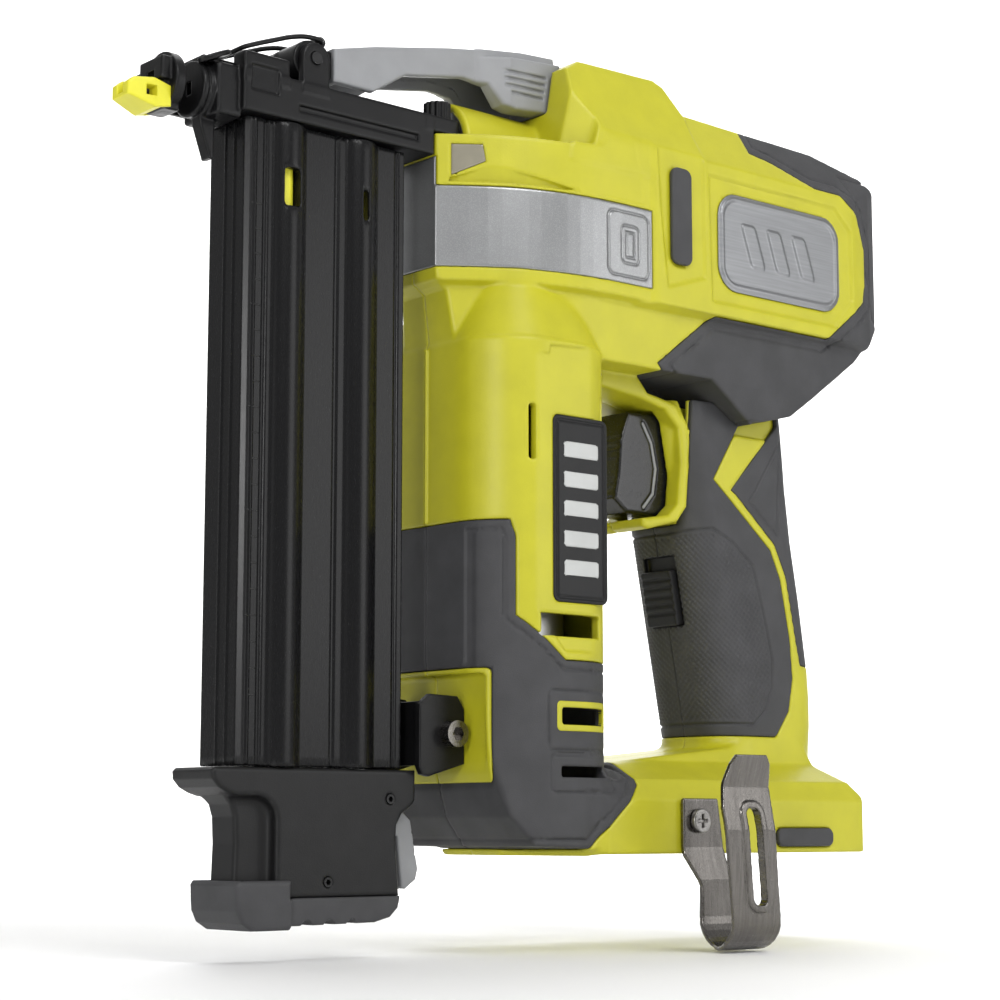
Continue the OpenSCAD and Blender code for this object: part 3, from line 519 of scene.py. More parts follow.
def hump(x, y, z):
    a = abs(y)
    body = allof(1, polygon(x, z, HUMP_SIDE), polygon(a, z, HUMP_END), polygon(x, a, HEAD_PLAN))
    corner = allof(0.8, polygon(x, z, FACET), 25.0 + 0.62 * (x + 77) - a)
    return cut(0.6, body, corner)


def ridge(x, y, z):
    return allof(1.2, rod(y, z, 0, DRIVE_Z, 15.8), span(x, -107.4, -60))


def barrel(x, y, z):
    plan = rounded(x, y, (-112, -37), (-55, 37), 23)
    side = polygon(x, z, BOOT_SIDE)
    lower = allof(1.4, plan, side, z - 165)
    flare = 0.5 + 7.8 * np.clip((z - 164.5) / 18.5, 0, 1)
    neck = allof(0.8, plan + flare, side + 0.8, z - 189)
    rib = block(x, abs(y), z, (-112.7, -1, 106), (-100, 0.7, 164), 0.4)
    return anyof(0.4, anyof(0.8, lower, neck), rib)


def foot(x, y, z):
    a = abs(y)
    return allof(1.2, polygon(x, z, FOOT_SIDE), polygon(x, a, FOOT_PLAN), polygon(a, z, FOOT_END))


def outer(x, y, z):
    body = anyof(1.5, head(x, y, z), hump(x, y, z), ridge(x, y, z))
    body = anyof(1, body, barrel(x, y, z))
    return anyof(5, body, anyof(4, foot(x, y, z), maximum(handle(x, y, z), span(z, 28, 175))))


# ---------- regions of the separate mouldings ----------

BOOT_REGION = [(-140, 105.5), (-103, 105.5), (-101.5, 100), (-101.5, 75), (-84, 61.5), (-30, 61.5), (-30, 42),
               (-52, 21.5), (-75, 1), (-75, -10), (-140, -10)]
CAP_REGION = [(12, 290), (12, 248), (22, 246), (40, 239), (53.5, 239), (63.3, 233), (68.5, 221), (68.5, 207),
              (67, 200.5), (46.3, 184.2), (-10.7, 184.2), (-34.8, 165.2), (-26, 158), (-12, 157), (-8, 147),
              (120, 147), (120, 290)]
CAP_LIP = [(60, 248), (90, 248), (90, 190), (74, 196)]
HANDLE_ZONE = [(-20, 36), (90, 36), (90, 162), (-7.5, 162), (-7.5, 114), (-20, 114)]
STRIPE = [(21.4, 160), (35.3, 160), (35.3, 152.8), (10.8, 127), (13.2, 125.8), (33, 109.2), (38.6, 98),
          (43.3, 75.5), (45.5, 66.5), (75, 64), (75, 34), (26, 34), (33, 41.5), (39.1, 49.8), (41.4, 61.5),
          (40.3, 75.5), (35.8, 97), (30.8, 107.2), (11, 123.2), (2.3, 130.1)]
LEATHER = [(-14, 110.5), (2, 112.5), (11.8, 108.3), (21.5, 100.7), (26.9, 83.1), (30.8, 68.1), (30.4, 58),
           (27, 50), (21, 44.6), (-14, 44.6)]
VENTS = [((-94, 69), (-67, 76.2), 1), ((-86, 41), (-65, 46.5), 1), ((-86, 24.5), (-65, 28), 0.8),
         ((-97.8, 125), (-95.4, 143), 0.8), ((-64.6, 134.7), (-61.8, 149.5), 0.8)]
GRIP_LINE = [(37, 147), (24.5, 129), (20.5, 123.7), (34.5, 113)]
GRIP_LOW, GRIP_HIGH = 40.5, 157.5
SKIN = 1.8  # thickness of the grip
WEAVE, RIB = 2.4, 1.6  # pitches of its relief


def boot_zone(x, y, z):
    return maximum(polygon(x, z, BOOT_REGION), maximum(span(x, -113.5, -51), span(z, 2, 110)))


def cap_zone(x, z):
    return polygon(x, z, CAP_REGION)


def grip_zone(x, z):
    return allof(0.8, polygon(x, z, HANDLE_ZONE), span(z, GRIP_LOW, GRIP_HIGH), -polygon(x, z, STRIPE))


def trigger_pocket(x, y, z):
    return block(x, abs(y), z, (-46, -20, 115), (-2, 9.8, 153.5), 1.5)


def mode_pocket(x, y, z):
    u, w = leaning(x, z)
    return block(u, abs(y), w, (-3, -20, 19), (4.2, 7.8, 44), 0.8)


def latch_pocket(x, y, z):
    return allof(2, span(x, -104, -63.6), abs(y) - 16.4, 248 - z)


def bracket_pocket(x, y, z):
    return block(x, abs(y), z, (-134, -40, 22), (-107, 26, 57), 2)


def stem_room(x, y, z, k=0):
    return block(x, abs(y), z, (11, -20, -9), (54, 15, 75), k)


def stem_pocket(x, y, z, form):
    """Room for the battery's stem, open below only."""
    return maximum(stem_room(x, y, z, 1), minimum(form + WALL, z - 3))


def side_vents(x, y, z):
    return maximum(anyof(0, *[rounded(x, z, *vent) for vent in VENTS]), 30 - abs(y))


def screw_bores(x, y, z):
    return anyof(0, *[maximum(rod(x, z, sx, sz, 3.4), deep - 3 - y) for sx, sz, deep in HOUSING_SCREWS])


def guard_ring(x, y, z):
    """The trigger guard's bow."""
    return allof(1.8, polygon(x, z, GUARD), abs(y) - 17)


def cavity(x, y, z):
    """Room inside the mouldings."""
    pockets = anyof(0, trigger_pocket(x, y, z), mode_pocket(x, y, z), latch_pocket(x, y, z),
                    bracket_pocket(x, y, z), stem_room(x, y, z))
    room = maximum(outer(x, y, z) + WALL + 0.6, 2.2 - pockets)
    bore = maximum(rod(y, z, 0, DRIVE_Z, 13.2), span(x, -108, -60))
    return minimum(room, bore)


BAND_LOW, BAND_HIGH, BAND_REAR, BAND_DEPTH = 189, 216, -42, 1.6
BADGE = ((-10, 194), (53, 229), 9)
BADGE_RECESS = [(-14.4, 233.4), (50.5, 233), (58.8, 225.8), (59.3, 200.2), (49.4, 189.2), (-13.2, 189.2)]
LABEL = ((-88.5, 80), (-65, 140.5), 2.5)
REAR_STEP = [(-36.5, 258), (-36.5, 243.5), (-22.5, 245.7), (-17.5, 241.5), (-17, 196), (-35.5, 190),
             (-38.5, 215), (-40.5, 243)]
BAR = ((-34, 199), (-24.5, 233), 3)
FOOT_BAR = ((11.5, 2.4), (39.5, 8.6), 2.5)
LENS = [(-113.6, 219.6), (-113.6, 230), (-105.2, 230), (-104.4, 224.4)]
PANEL = [(-89.8, 162.5), (-63.1, 164.4), (-61, 152), (-61, 64.5), (-84, 64.5), (-94.5, 76), (-103.5, 99),
         (-103.5, 158.5), (-90.2, 160)]


def band_zone(x, y, z):
    """Where the silver band lies: round the head, and up its front face to the nose."""
    round_head = maximum(span(z, BAND_LOW, BAND_HIGH), x - BAND_REAR)
    front = allof(0, span(z, BAND_LOW, 225.8), abs(y) - 11.6, x + 115)
    return minimum(round_head, front)


def housing(x, y, z):
    a = abs(y)
    form = outer(x, y, z)
    boot = boot_zone(x, y, z)
    cap = cap_zone(x, z)
    # side panel, badge recess and the step ahead of it
    body = cut(0.5, form, recess(PANEL, x, a, z, 0.6, (36.2, 36.1), 0.3))
    body = cut(0.5, body, recess(BADGE_RECESS, x, a, z, 0.8, (34.9, 34.8), 0.3))
    body = cut(0.4, body, recess(REAR_STEP, x, a, z, 0.8, (36, 35.2), 0.2))
    skin = maximum(handle(x, y, z) - 0.6, grip_zone(x, z) - GAP)
    body = cut(0.5, body, skin, cap - GAP, boot - GAP)
    core = allof(0, handle(x, y, z) + SKIN, polygon(x, z, HANDLE_ZONE), span(z, 39, 157.4))
    rim = cut(0.8, guard_ring(x, y, z), cap - GAP, block(x, a, z, (-33, -9, 110), (-22, 0.9, 112.4)))
    body = anyof(0.6, minimum(body, core), rim)
    body = cut(0.5, body, trigger_pocket(x, y, z), mode_pocket(x, y, z), bracket_pocket(x, y, z),
               latch_pocket(x, y, z), side_vents(x, y, z), stem_pocket(x, y, z, form))
    band = maximum(-(polygon(x, a, HEAD_PLAN) + BAND_DEPTH), band_zone(x, y, z) - 0.22)
    plates = anyof(0, *[maximum(rounded(x, z, *outline) - gap, deep - a) for outline, gap, deep in
                        ((BADGE, GAP, 34.4), (LABEL, GAP, 35.2), (BAR, 0.3, 35), (FOOT_BAR, 0.3, 37))],
                   maximum(polygon(x, z, LENS) - GAP, -(polygon(x, a, HEAD_PLAN) + 2)))
    nose = anyof(0, block(x, a, z, (-123, -20, 233.8), (-107.6, 14.2, 245)),
                 maximum(rod(y, z, 0, DRIVE_Z, 5.2), x + 107))
    bores = anyof(0, screw_bores(x, y, z), maximum(rod(x, z, *HOOK_SCREW, 2.05), 26 - a),
                  maximum(rod(y, z, 0, SPRING_Z, 3.9), span(x, -4, 8)))
    return maximum(body, -minimum(minimum(band, plates), minimum(nose, bores)))


def housing_left(x, y, z):
    return allof(0, housing(x, y, z), -cavity(x, y, z), y + 0.06)


COARSER = 1
FINE = 0.8 * COARSER
solid("left_housing", housing_left, (-119, -41, -1), (87, 0.5, 272), FINE, "housing_yellow",
      mirrored="right_housing", hidden=cavity)


def boot(x, y, z):
    form = outer(x, y, z)
    zone = boot_zone(x, y, z)
    body = cut(0.3, form, groove(zone + 3, form, 0.45, 0.5))
    body = cut(0.3, body, groove(rounded(x, z, (-91, 33), (-60, 52), 2), form, 0.4, 0.4),
               groove(rounded(x, z, (-90, 20), (-62, 31.5), 2), form, 0.4, 0.4))
    body = allof(0.6, body, zone + GAP, y + SPLIT)
    body = cut(0.5, body, side_vents(x, y, z), bracket_pocket(x, y, z) - 1.7)
    return maximum(body, -(form + WALL))


solid("left_boot", boot, (-113.5, -39, 0), (-50, 0.5, 112), FINE, "overmould", mirrored="right_boot")


def bracket_frame(x, y, z):
    form = outer(x, y, z)
    ring = maximum(bracket_pocket(x, y, z) - 1.5, -bracket_pocket(x, y, z))
    return allof(0.5, form + 0.1, ring, y + SPLIT, -(form + 5), x + 88)


solid("left_bracket_frame", bracket_frame, (-113, -33, 17), (-86, 0.5, 62), 0.6, "housing_yellow",
      mirrored="right_bracket_frame")


def window_frame(x, y, z):
    a = abs(y)
    ring = maximum(rounded(x, z, (-88, 39), (-63, 48.5), 1.6), -rounded(x, z, (-86, 41), (-65, 46.5), 1))
    return allof(0.3, ring, outer(x, y, z) - 0.25, -(outer(x, y, z) + 1.6), 30 - a, y)


solid("left_window_frame", window_frame, (-90, -40, 37), (-61, -28, 50), 0.4, "housing_yellow",
      mirrored="right_window_frame")


def rear_cap(x, y, z):
    form = head(x, y, z)
    zone = cap_zone(x, z)
    lines = groove(zone + 4, form, 0.5, 0.5), groove(polygon(x, z, CAP_LIP), form, 0.5, 0.5)
    body = allof(0.6, cut(0.3, form, *lines), zone + GAP, y + SPLIT)
    slots = anyof(0, *[block(x, y, z, (60, 7 * k - 1.2, 182), (95, 7 * k + 1.2, 199)) for k in (-2, -1, 0)])
    body = cut(0.4, body, slots, maximum(handle(x, y, z) - 0.3, z - 157.6))
    return maximum(maximum(body, -(form + WALL)), -screw_bores(x, y, z))


solid("left_rear_cap", rear_cap, (-36, -37, 146.5), (87, 0.5, 260), FINE, "overmould", mirrored="right_rear_cap")


def grip(x, y, z):
    form = handle(x, y, z)
    u, w = leaning(x, z)
    zone = grip_zone(x, z)
    leather = polygon(x, z, LEATHER)
    around = u + 0.9 * abs(y)
    weave = np.sin(2 * math.pi * around / WEAVE) * np.sin(2 * math.pi * w / WEAVE)
    inside = np.clip(-(leather + 1) / 0.8, 0, 1)
    # the weave, the line round it, the ribs up the back and the line beside the yellow stripe
    body = form + 0.42 * inside * (1 - weave) * 0.5 + 0.1
    body = body + 0.75 * np.clip(1 - abs(leather) / 0.75, 0, 1)
    strip = np.clip(u - 56.5, 0, 1) * np.clip((112 - z) / 2, 0, 1)
    body = body + 0.25 * strip * (1 - np.sin(2 * math.pi * w / RIB)) * 0.5
    body = body + 0.5 * np.clip(1 - abs(polygon(x, z, GRIP_LINE)) / 0.8, 0, 1)
    body = allof(0.5, body, zone + GAP, y + SPLIT)
    body = cut(0.4, body, guard_ring(x, y, z) - 0.2, trigger_pocket(x, y, z) - 0.2, mode_pocket(x, y, z))
    return maximum(body, -(form + SKIN - 0.05))


solid("left_handle_grip", grip, (-20, -20, 39.5), (66, 0.5, 159), 0.5 * COARSER, "overmould",
      mirrored="right_handle_grip")

# ---------- trim ----------


def band(x, y, z):
    a = abs(y)
    plan = polygon(x, a, HEAD_PLAN)
    body = allof(0.5, plan + 0.05, -(plan + BAND_DEPTH - 0.08), band_zone(x, y, z))
    emblem = rounded(x, z, (-62, 191.5), (-43.5, 213.5), 3)
    tile = rounded(x, z, (-56, 196), (-48, 209), 2)
    rings = anyof(0, abs(emblem) - 0.4, abs(tile) - 0.4, abs(tile + 2.2) - 0.4)
    return cut(0.2, body, maximum(rings, 34.05 - a))


solid("gauge_band", band, (-118.5, -36.5, 188), (-41, 36.5, 227), 0.5, "cast_silver")


def badge(x, y, z):
    a = abs(y)
    zone = rounded(x, z, *BADGE)
    body = allof(0.4, zone, a - 35.2, 34.45 - a)
    border = maximum(abs(zone + 1.8) - 0.7, 34.9 - a)
    bars = anyof(0, *[rounded(x + 0.35 * (z - 211), z, (4 + 13 * k, 204), (11 + 13 * k, 219), 1.6) for k in range(3)])
    return anyof(0.3, body, allof(0.3, border, a - 35.6, 34.6 - a), allof(0.4, bars, a - 35.6, 34.6 - a))


solid("badge_plates", badge, (-11, -37, 193), (54, 37, 230), 0.5, "cast_silver", mat=plate_steel)


def label(x, y, z):
    a = abs(y)
    zone = rounded(x, z, *LABEL)
    return cut(0.3, allof(0.4, zone, a - 36.35, 35.25 - a), maximum(abs(zone + 1.6) - 0.4, 36.1 - a))


solid("label_plates", label, (-89.5, -38, 79), (-64, 38, 142), 0.5, "black_plastic")


def marks(x, y, z):
    a = abs(y)
    bars = anyof(0, *[rounded(x, z, (-84.2, 88.5 + 9.6 * k), (-69.2, 93.5 + 9.6 * k), 1.2) for k in range(5)])
    return allof(0.15, bars, a - 36.6, 36.2 - a)


solid("label_marks", marks, (-85.2, -37.5, 87.5), (-68.2, 37.5, 133), 0.35, "black_plastic", mat=pale_ink)


def plate(outline, k, inner, outer_face):
    """The field of a plate on each side, between two distances from the middle."""
    def field(x, y, z):
        return allof(k, rounded(x, z, *outline), abs(y) - outer_face, inner - abs(y))
    return field


solid("side_bumpers", plate(BAR, 0.9, 35.1, 37), (-34, -38, 199), (-22, 38, 234), 0.5, "overmould")
solid("foot_bumpers", plate(FOOT_BAR, 0.8, 37.1, 39), (10.5, -40, 1), (40.5, 40, 9.5), 0.5, "overmould")


def lenses(x, y, z):
    plan = polygon(x, abs(y), HEAD_PLAN)
    return allof(0.4, polygon(x, z, LENS), plan + 0.1, -(plan + 1.9), 10 - abs(y))


solid("led_lenses", lenses, (-116, -28, 218), (-103, 28, 231.5), 0.4, "lens")

# ---------- nose ----------

GILL = [(-203.3, 227.5), (-202.4, 221.7), (-198.8, 211.5), (-197.4, 211.5), (-197, 227.5)]


def nose(x, y, z):
    a = abs(y)
    body = block(x, a, z, (-193, -20, 226), (-118.3, 12, 239.5), 0.8)
    body = anyof(0.8, body, block(x, a, z, (-193, 5.5, 236), (-176, 12, 245), 0.8))
    body = cut(0.5, body, block(x, a, z, (-172, 10.9, 229.5), (-125, 14, 231.5), 0.3),
               block(x, a, z, (-190, 11.2, 233), (-180, 14, 241), 0.5))
    pipe = allof(0.8, rod(y, z, 0, DRIVE_Z, 8.8), span(x, -205.4, -192))
    pipe = cut(0.3, pipe, groove(x + 203, rod(y, z, 0, DRIVE_Z, 8.3), 0.4, 0))
    throat = block(x, a, z, (-201, -20, 223.8), (-192, 9.6, 240.2), 1.2)
    body = anyof(0.6, body, pipe, throat)
    lug = block(x, a, z, (-122, -20, 234), (-108, 12, 239.5), 0.6)
    spigot = maximum(rod(y, z, 0, DRIVE_Z, 5), span(x, -119, -114.2))
    ears = maximum(anyof(0, rod(x, z, *LATCH_PIN, 5), block(x, y, z, (-171, -50, 236), (-161, 50, 248))),
                   span(a, 9.4, 12))
    gill = allof(0.5, polygon(x, z, GILL), a - 2.4)
    body = anyof(0.4, body, lug, spigot, ears, gill)
    channel = anyof(0, block(x, a, z, (-230, -9, 230.5), (-100, 1.3, 234.5)),
                    block(x, a, z, (-188, -9, 220), (-136, 1.3, 232.5)), rod(x, z, *LATCH_PIN, 2.05),
                    maximum(rod(x, y, *WHEEL_AXIS, 4.9), 230 - z),
                    block(x, a, z, (-205, -9, 233.5), (-176, 3, 250)))
    return maximum(body, -channel)


solid("nose_frame", nose, (-207, -12.5, 210), (-107, 12.5, 254), 0.5, "black_metal")


def contact(x, y, z):
    a = abs(y)
    guide = anyof(0.6, block(x, a, z, (-219, -9, 231.8), (-211.5, 6.5, 239), 0.8),
                  block(x, a, z, (-217.5, -9, 223), (-211.5, 5, 232), 0.8))
    collar = allof(0.5, rod(y, z, 0, DRIVE_Z, 9.4), span(x, -215.5, -212))
    arm = anyof(0.4, block(x, y, z, (-216, 5, 226), (-211.5, 14.4, 238), 0.5),
                block(x, y, z, (-216, 12.4, 228), (-150, 14.4, 237), 0.5))
    body = anyof(0.5, guide, collar, arm)
    bore = anyof(0, block(x, a, z, (-230, -9, 229.9), (-205, 2, 235.1)),
                 maximum(rod(y, z, 0, DRIVE_Z, 7.4), span(x, -214, -205)))
    return maximum(body, -bore)


solid("contact_arm", contact, (-220, -10, 222), (-149, 15, 243), 0.5, "black_metal", "contact")

TIP = [(-229.5, 228.8), (-227.5, 230.6), (-221, 231.3), (-215.2, 229.8), (-215.2, 223.4), (-220.5, 222.2),
       (-229.5, 225)]


def nose_tip(x, y, z):
    a = abs(y)
    body = allof(0.6, polygon(x, z, TIP), a - 4.6 - 1.6 * np.clip((x + 229.5) / 8, 0, 1))
    hole = anyof(0, block(x, a, z, (-235, -9, 226), (-200, 1.6, 235)),
                 block(x, y, z, (-223.6, -9, 225.6), (-220.2, -1.5, 228.8), 0.2),
                 block(x, a, z, (-219.2, -9, 222.9), (-205, 5.2, 236)))
    return cut(0.3, body, hole)


solid("no_mar_tip", nose_tip, (-230.5, -7, 221), (-214, 7, 232.5), 0.4, "tip_yellow", "contact")


def wheel(x, y, z):
    turn = np.arctan2(y - WHEEL_AXIS[1], x - WHEEL_AXIS[0])
    body = allof(0.5, rod(x, y, *WHEEL_AXIS, 4.6) + 0.3 - 0.3 * np.cos(14 * turn), span(z, 235.4, 245.5))
    return cut(0.2, body, maximum(rod(x, y, *WHEEL_AXIS, 1.6), 243.5 - z),
               maximum(abs(z - 238.4) - 0.5, -rod(x, y, *WHEEL_AXIS, 3.9)))


solid("depth_wheel", wheel, (-118, -11.5, 235), (-108, -1.5, 246), 0.3, "black_metal", "wheel")

LATCH = [(-158, 253.6), (-141.5, 258), (-111, 264.5), (-97, 267), (-80, 269.5), (-65.5, 270.5), (-65, 268),
         (-66.5, 264), (-67.6, 251.5), (-71, 248.9), (-86, 247.6), (-90.5, 248.5), (-95.5, 255), (-105, 255.5),
         (-129, 251), (-142, 242.6), (-158, 242.6)]
LATCH_HOLLOW = [(-156, 236), (-156, 250.5), (-141, 254.4), (-111, 260.8), (-97, 263.3), (-69, 266), (-69, 236)]
LATCH_SHELF = [(-110, 262.5), (-98, 264.4), (-60, 267.6), (-60, 280), (-110, 280)]
LATCH_RIBS = [[(-93.5 + 2.1 * k, 260.0 - 2.3 * k), (-72.5 - 0.5 * k, 261.0 - 2.5 * k)] for k in range(4)]
PAD = [(-64, -20), (-64, 15), (-88, 15), (-100, 10.5), (-100, -20)]


def latch(x, y, z):
    a = abs(y)
    side = polygon(x, z, LATCH)
    beam = allof(1.2, side, a - 10.5)
    pad = allof(1.2, side, polygon(x, a, PAD))
    body = anyof(0.8, beam, pad)
    body = cut(0.6, body, maximum(side + 3.4, maximum(a - 8.2, z - 262)))
    body = maximum(body, -allof(0.3, polygon(x, z, LATCH_HOLLOW), a - 8))
    ribs = anyof(0, *[maximum(path(x, z, line, 0.55), 14.1 - a) for line in LATCH_RIBS])
    shelf = allof(0.8, polygon(x, z, LATCH_SHELF), 11.2 - a)
    return cut(0.3, cut(0.8, body, shelf), ribs)


solid("jam_latch", latch, (-159, -16, 242), (-63.5, 16, 272), 0.5, "latch_grey", "latch")

BAIL_HOLE = (-160, 256.2)
BAIL_EAR = [(-165, 252), (-161.2, 257.6), (-158.9, 256), (-159.4, 250)]


def cam(x, y, z):
    a = abs(y)
    body = anyof(0.5, allof(0.6, rod(x, z, *LATCH_PIN, 6.6), a - 9),
                 block(x, a, z, (-166, -20, 243.4), (-158.05, 9, 252.6), 0.6),
                 allof(0.3, rod(x, z, *BAIL_HOLE, 1.8), a - 6), allof(0.3, polygon(x, z, BAIL_EAR), a - 6))
    return maximum(body, -minimum(rod(x, z, *LATCH_PIN, 2.05), rod(x, z, *BAIL_HOLE, 0.95)))


solid("latch_cam", cam, (-174, -10, 240), (-157, 10, 259), 0.4, "black_metal", "latch")

BAIL = [(-160, 256.2), (-164, 256.4), (-168, 256), (-173, 254.6), (-178, 252.6), (-184, 250.2), (-190, 247.6)]
BAIL_LEG_Y = 7.2
wire = [(-160, 0, 256.2), *[(x, -BAIL_LEG_Y, z) for x, z in BAIL], *[(x, BAIL_LEG_Y, z) for x, z in BAIL[::-1]],
        (-160, 0.4, 256.2)]
tube("wire_bail", rounded_route(wire, 2), 0.8, "bail", "black_metal")

EAR_TILT = math.radians(25)


def door(x, y, z):
    a = abs(y)
    body = block(x, a, z, (-203, -9, 234.7), (-177, 2.7, 241), 0.5)
    plate = block(x, a, z, (-203, -9, 241), (-179, 5, 242.6), 0.4)
    u = x + 200
    w = z - 242.6
    c, s = math.cos(EAR_TILT), math.sin(EAR_TILT)
    leaf = (np.hypot((u * c + w * s + 0.5) / 6.2, (a - 6.4) / 2.9) - 1) * 2.9
    ear = allof(0.5, leaf, span(w * c - u * s, -0.9, 0.8))
    knob = allof(0.5, rod(x, y, -184, 0, 3), span(z, 242, 245.5))
    hinge = allof(0.2, rod(x, z, -203, 241.5, 1.3), a - 5)
    return anyof(0.3, body, plate, ear, knob, hinge)


solid("nose_door", door, (-208, -10.5, 233), (-176, 10.5, 247.5), 0.4, "black_metal", "door")

# ---------- magazine ----------

MAG_LOW, MAG_HIGH = 27, 225.5
COVER = [(-190, 10.5), (-190, -8), (-188.5, -9.5), (-129, -9.5), (-129, -1), (-186, -1), (-186, 10.5)]
TUBES = (-174, -146)


def cover(x, y, z):
    body = allof(0.5, polygon(x, y, COVER), span(z, MAG_LOW, MAG_HIGH))
    pipes = maximum(anyof(0, *[rod(x, y, t, -3.6, 8.4) for t in TUBES]), y + 6)
    body = anyof(0.6, body, maximum(pipes, span(z, MAG_LOW, MAG_HIGH)))
    strip = block(x, y, z, (-183.6, -12, 20), (-182.2, -9, 230), 0.2)
    step = block(x, y, z, (-156.4, -12, 20), (-155, -9, 230), 0.2)
    rear = block(x, y, z, (-132.6, -12, 20), (-131.4, -9, 230), 0.2)
    ridges = anyof(0, rod(x, y, -186.9, -9.5, 0.45), rod(x, y, -189.9, 2, 0.5), rod(x, y, -189.9, -3, 0.5))
    body = anyof(0.2, body, maximum(ridges, span(z, MAG_LOW + 0.5, MAG_HIGH - 0.5)))
    room = anyof(0, block(x, y, z, (-184, -3.6, MAG_LOW + 3), (-135, 0, 230)),
                 *[maximum(rod(x, y, t, -5.8, 3.6), 30 - z) for t in TUBES])
    windows = anyof(0, maximum(rounded(x, z, (-177, 199), (-170.8, 211), 1.2), y + 6),
                    maximum(rounded(x, z, (-147, 199.5), (-144.8, 209), 0.8), y + 6))
    body = cut(0.3, body, strip, step, rear)
    return maximum(body, -minimum(room, windows))


solid("magazine_cover", cover, (-191.5, -12.5, 26), (-128, 11, 226.5), (0.45, 0.45, 1.9), "black_anodised",
      "magazine")

TICK_START, TICK_STEP = 40, 7.9


def ticks(x, y, z):
    number = np.round((z - TICK_START) / TICK_STEP)
    near = abs((z - TICK_START) - TICK_STEP * number)
    long_one = number % 4 == 0
    half = np.where(long_one, 1.9, 1.1)
    bar = maximum(near - 0.28, abs(x + 186.2 - (1.9 - half)) - half)
    return maximum(maximum(bar, span(y, -9.62, -9.2)), span(z, 42, 205))


solid("scale_ticks", ticks, (-188.6, -9.8, 41), (-184, -9.1, 206), (0.4, 0.14, 0.19), "black_anodised", "magazine",
      mat=tick_ink)

RAIL = [(-185.6, 10.5), (-185.6, 0.9), (-129, 0.9), (-129, -0.6), (-125.4, -0.6), (-125.4, 10.5)]


def rail(x, y, z):
    body = allof(0.4, polygon(x, y, RAIL), span(z, MAG_LOW, 226))
    grooves = anyof(0, *[block(x, y, z, (c - 1, 9.8, 20), (c + 1, 12, 230), 0.2) for c in (-178, -157, -136)])
    slot = block(x, y, z, (-180, 3.5, 20), (-135, 8, 230))
    return cut(0.2, body, grooves, slot)


solid("magazine_rail", rail, (-186.5, -1.2, 26), (-124.5, 11.2, 227), (0.45, 0.45, 2.4), "black_anodised")

END_CAP = [(-198.4, 26.5), (-199.5, 25.4), (-199.2, 23), (-197, 20.6), (-192.2, 18.2), (-189.6, 15.6),
           (-188.4, 12), (-188, 4), (-188.6, -12), (-130.2, -12), (-131.6, 4), (-131.2, 9.5), (-129.2, 13),
           (-126, 15), (-124, 17), (-124, 26.5)]
END_CAP_SCREWS = ((-134, 17.5), (-157.5, -7.5))


def end_cap(x, y, z):
    body = allof(1.2, polygon(x, z, END_CAP), span(y, -11, 11.5))
    hollow = rounded(x, z, (-215, -30), (-176.5, 18), 7)
    body = cut(1.6, body, allof(3, hollow, 6.6 - abs(y - 0.25)))
    return cut(0.3, body, block(x, abs(y), z, (-132.5, -9, -13), (-120, 4.6, 15), 0.5),
               maximum(rod(x, z, *LEVER_PIN, 1.55), abs(y) - 5.5),
               *[maximum(rod(x, z, *at, 1.7), y - 6) for at in END_CAP_SCREWS])


solid("magazine_end_cap", end_cap, (-205.5, -12, -13), (-123.5, 12.5, 27.5), 0.5, "black_plastic", "magazine")

MAG_BOOT = [(-190.6, -6.7), (-191.5, -8), (-190.9, -15.5), (-189.2, -19), (-185.5, -21.3), (-172.3, -21.3),
            (-170.9, -20.2), (-140, -19.8), (-134.2, -18.4), (-131.2, -15.6), (-130.3, -12), (-172, -12),
            (-172, -6.7)]


def mag_boot(x, y, z):
    body = allof(1.6, polygon(x, z, MAG_BOOT), span(y, -12.9, 13.2))
    body = cut(0.8, body, maximum(-171.6 - x, 11.9 - abs(y - 0.2)))
    seat = block(x, y, z, (-188.6, -11.1, -12.1), (-170, 11.6, -4))
    notches = anyof(0, *[rod(x, z, -165.5 + 8.4 * k, -20.5, 2) for k in range(3)])
    return cut(0.4, body, seat, notches)


solid("magazine_boot", mag_boot, (-197, -13.5, -22), (-130, 14, -6), 0.5, "overmould", "magazine")

LEVER = [(-131.5, 14), (-124, 14), (-120.5, 11), (-117.4, -4), (-118.2, -7.4), (-122.4, -10.3), (-124.2, -9.8),
         (-126, 6), (-131.5, 10)]


def lever(x, y, z):
    body = allof(1, polygon(x, z, LEVER), abs(y) - 4.2)
    ribs = anyof(0, *[rod(x, z, -119.1 + 0.66 * k, 4.0 - 3.4 * k, 0.5) for k in range(-1, 2)])
    return cut(0.2, body, rod(x, z, *LEVER_PIN, 1.55), ribs)


solid("release_lever", lever, (-132.5, -5, -10.5), (-113.5, 5, 15), 0.4, "latch_grey", "lever")

BRACKET = [(-125.4, 27.6), (-124.2, 25.2), (-121.5, 24.6), (-107.3, 28.6), (-107.3, 46), (-110, 50), (-121, 50.4),
           (-125.4, 47)]


def bracket(x, y, z):
    a = abs(y)
    body = anyof(0.5, allof(0.5, polygon(x, z, BRACKET), span(a, 12, 14.5)),
                 block(x, a, z, (-125.4, -20, 28), (-123, 13, 48), 0.4))
    return cut(0.3, body, rod(x, z, *BRACKET_BOLT, 2.6))


solid("magazine_bracket", bracket, (-126.5, -15, 23.8), (-106.5, 15, 51.2), 0.45, "black_metal")

# ---------- trigger, switch and hook ----------

TRIGGER = [(-33, 142), (-29, 152), (-12, 152.5), (-9.6, 140), (-9.6, 124), (-12, 116.5), (-30, 116.5), (-36, 121),
           (-34, 130)]
INLAY = [(-22, 119), (-17.5, 124), (-16, 133), (-18, 142), (-22, 148.5)]


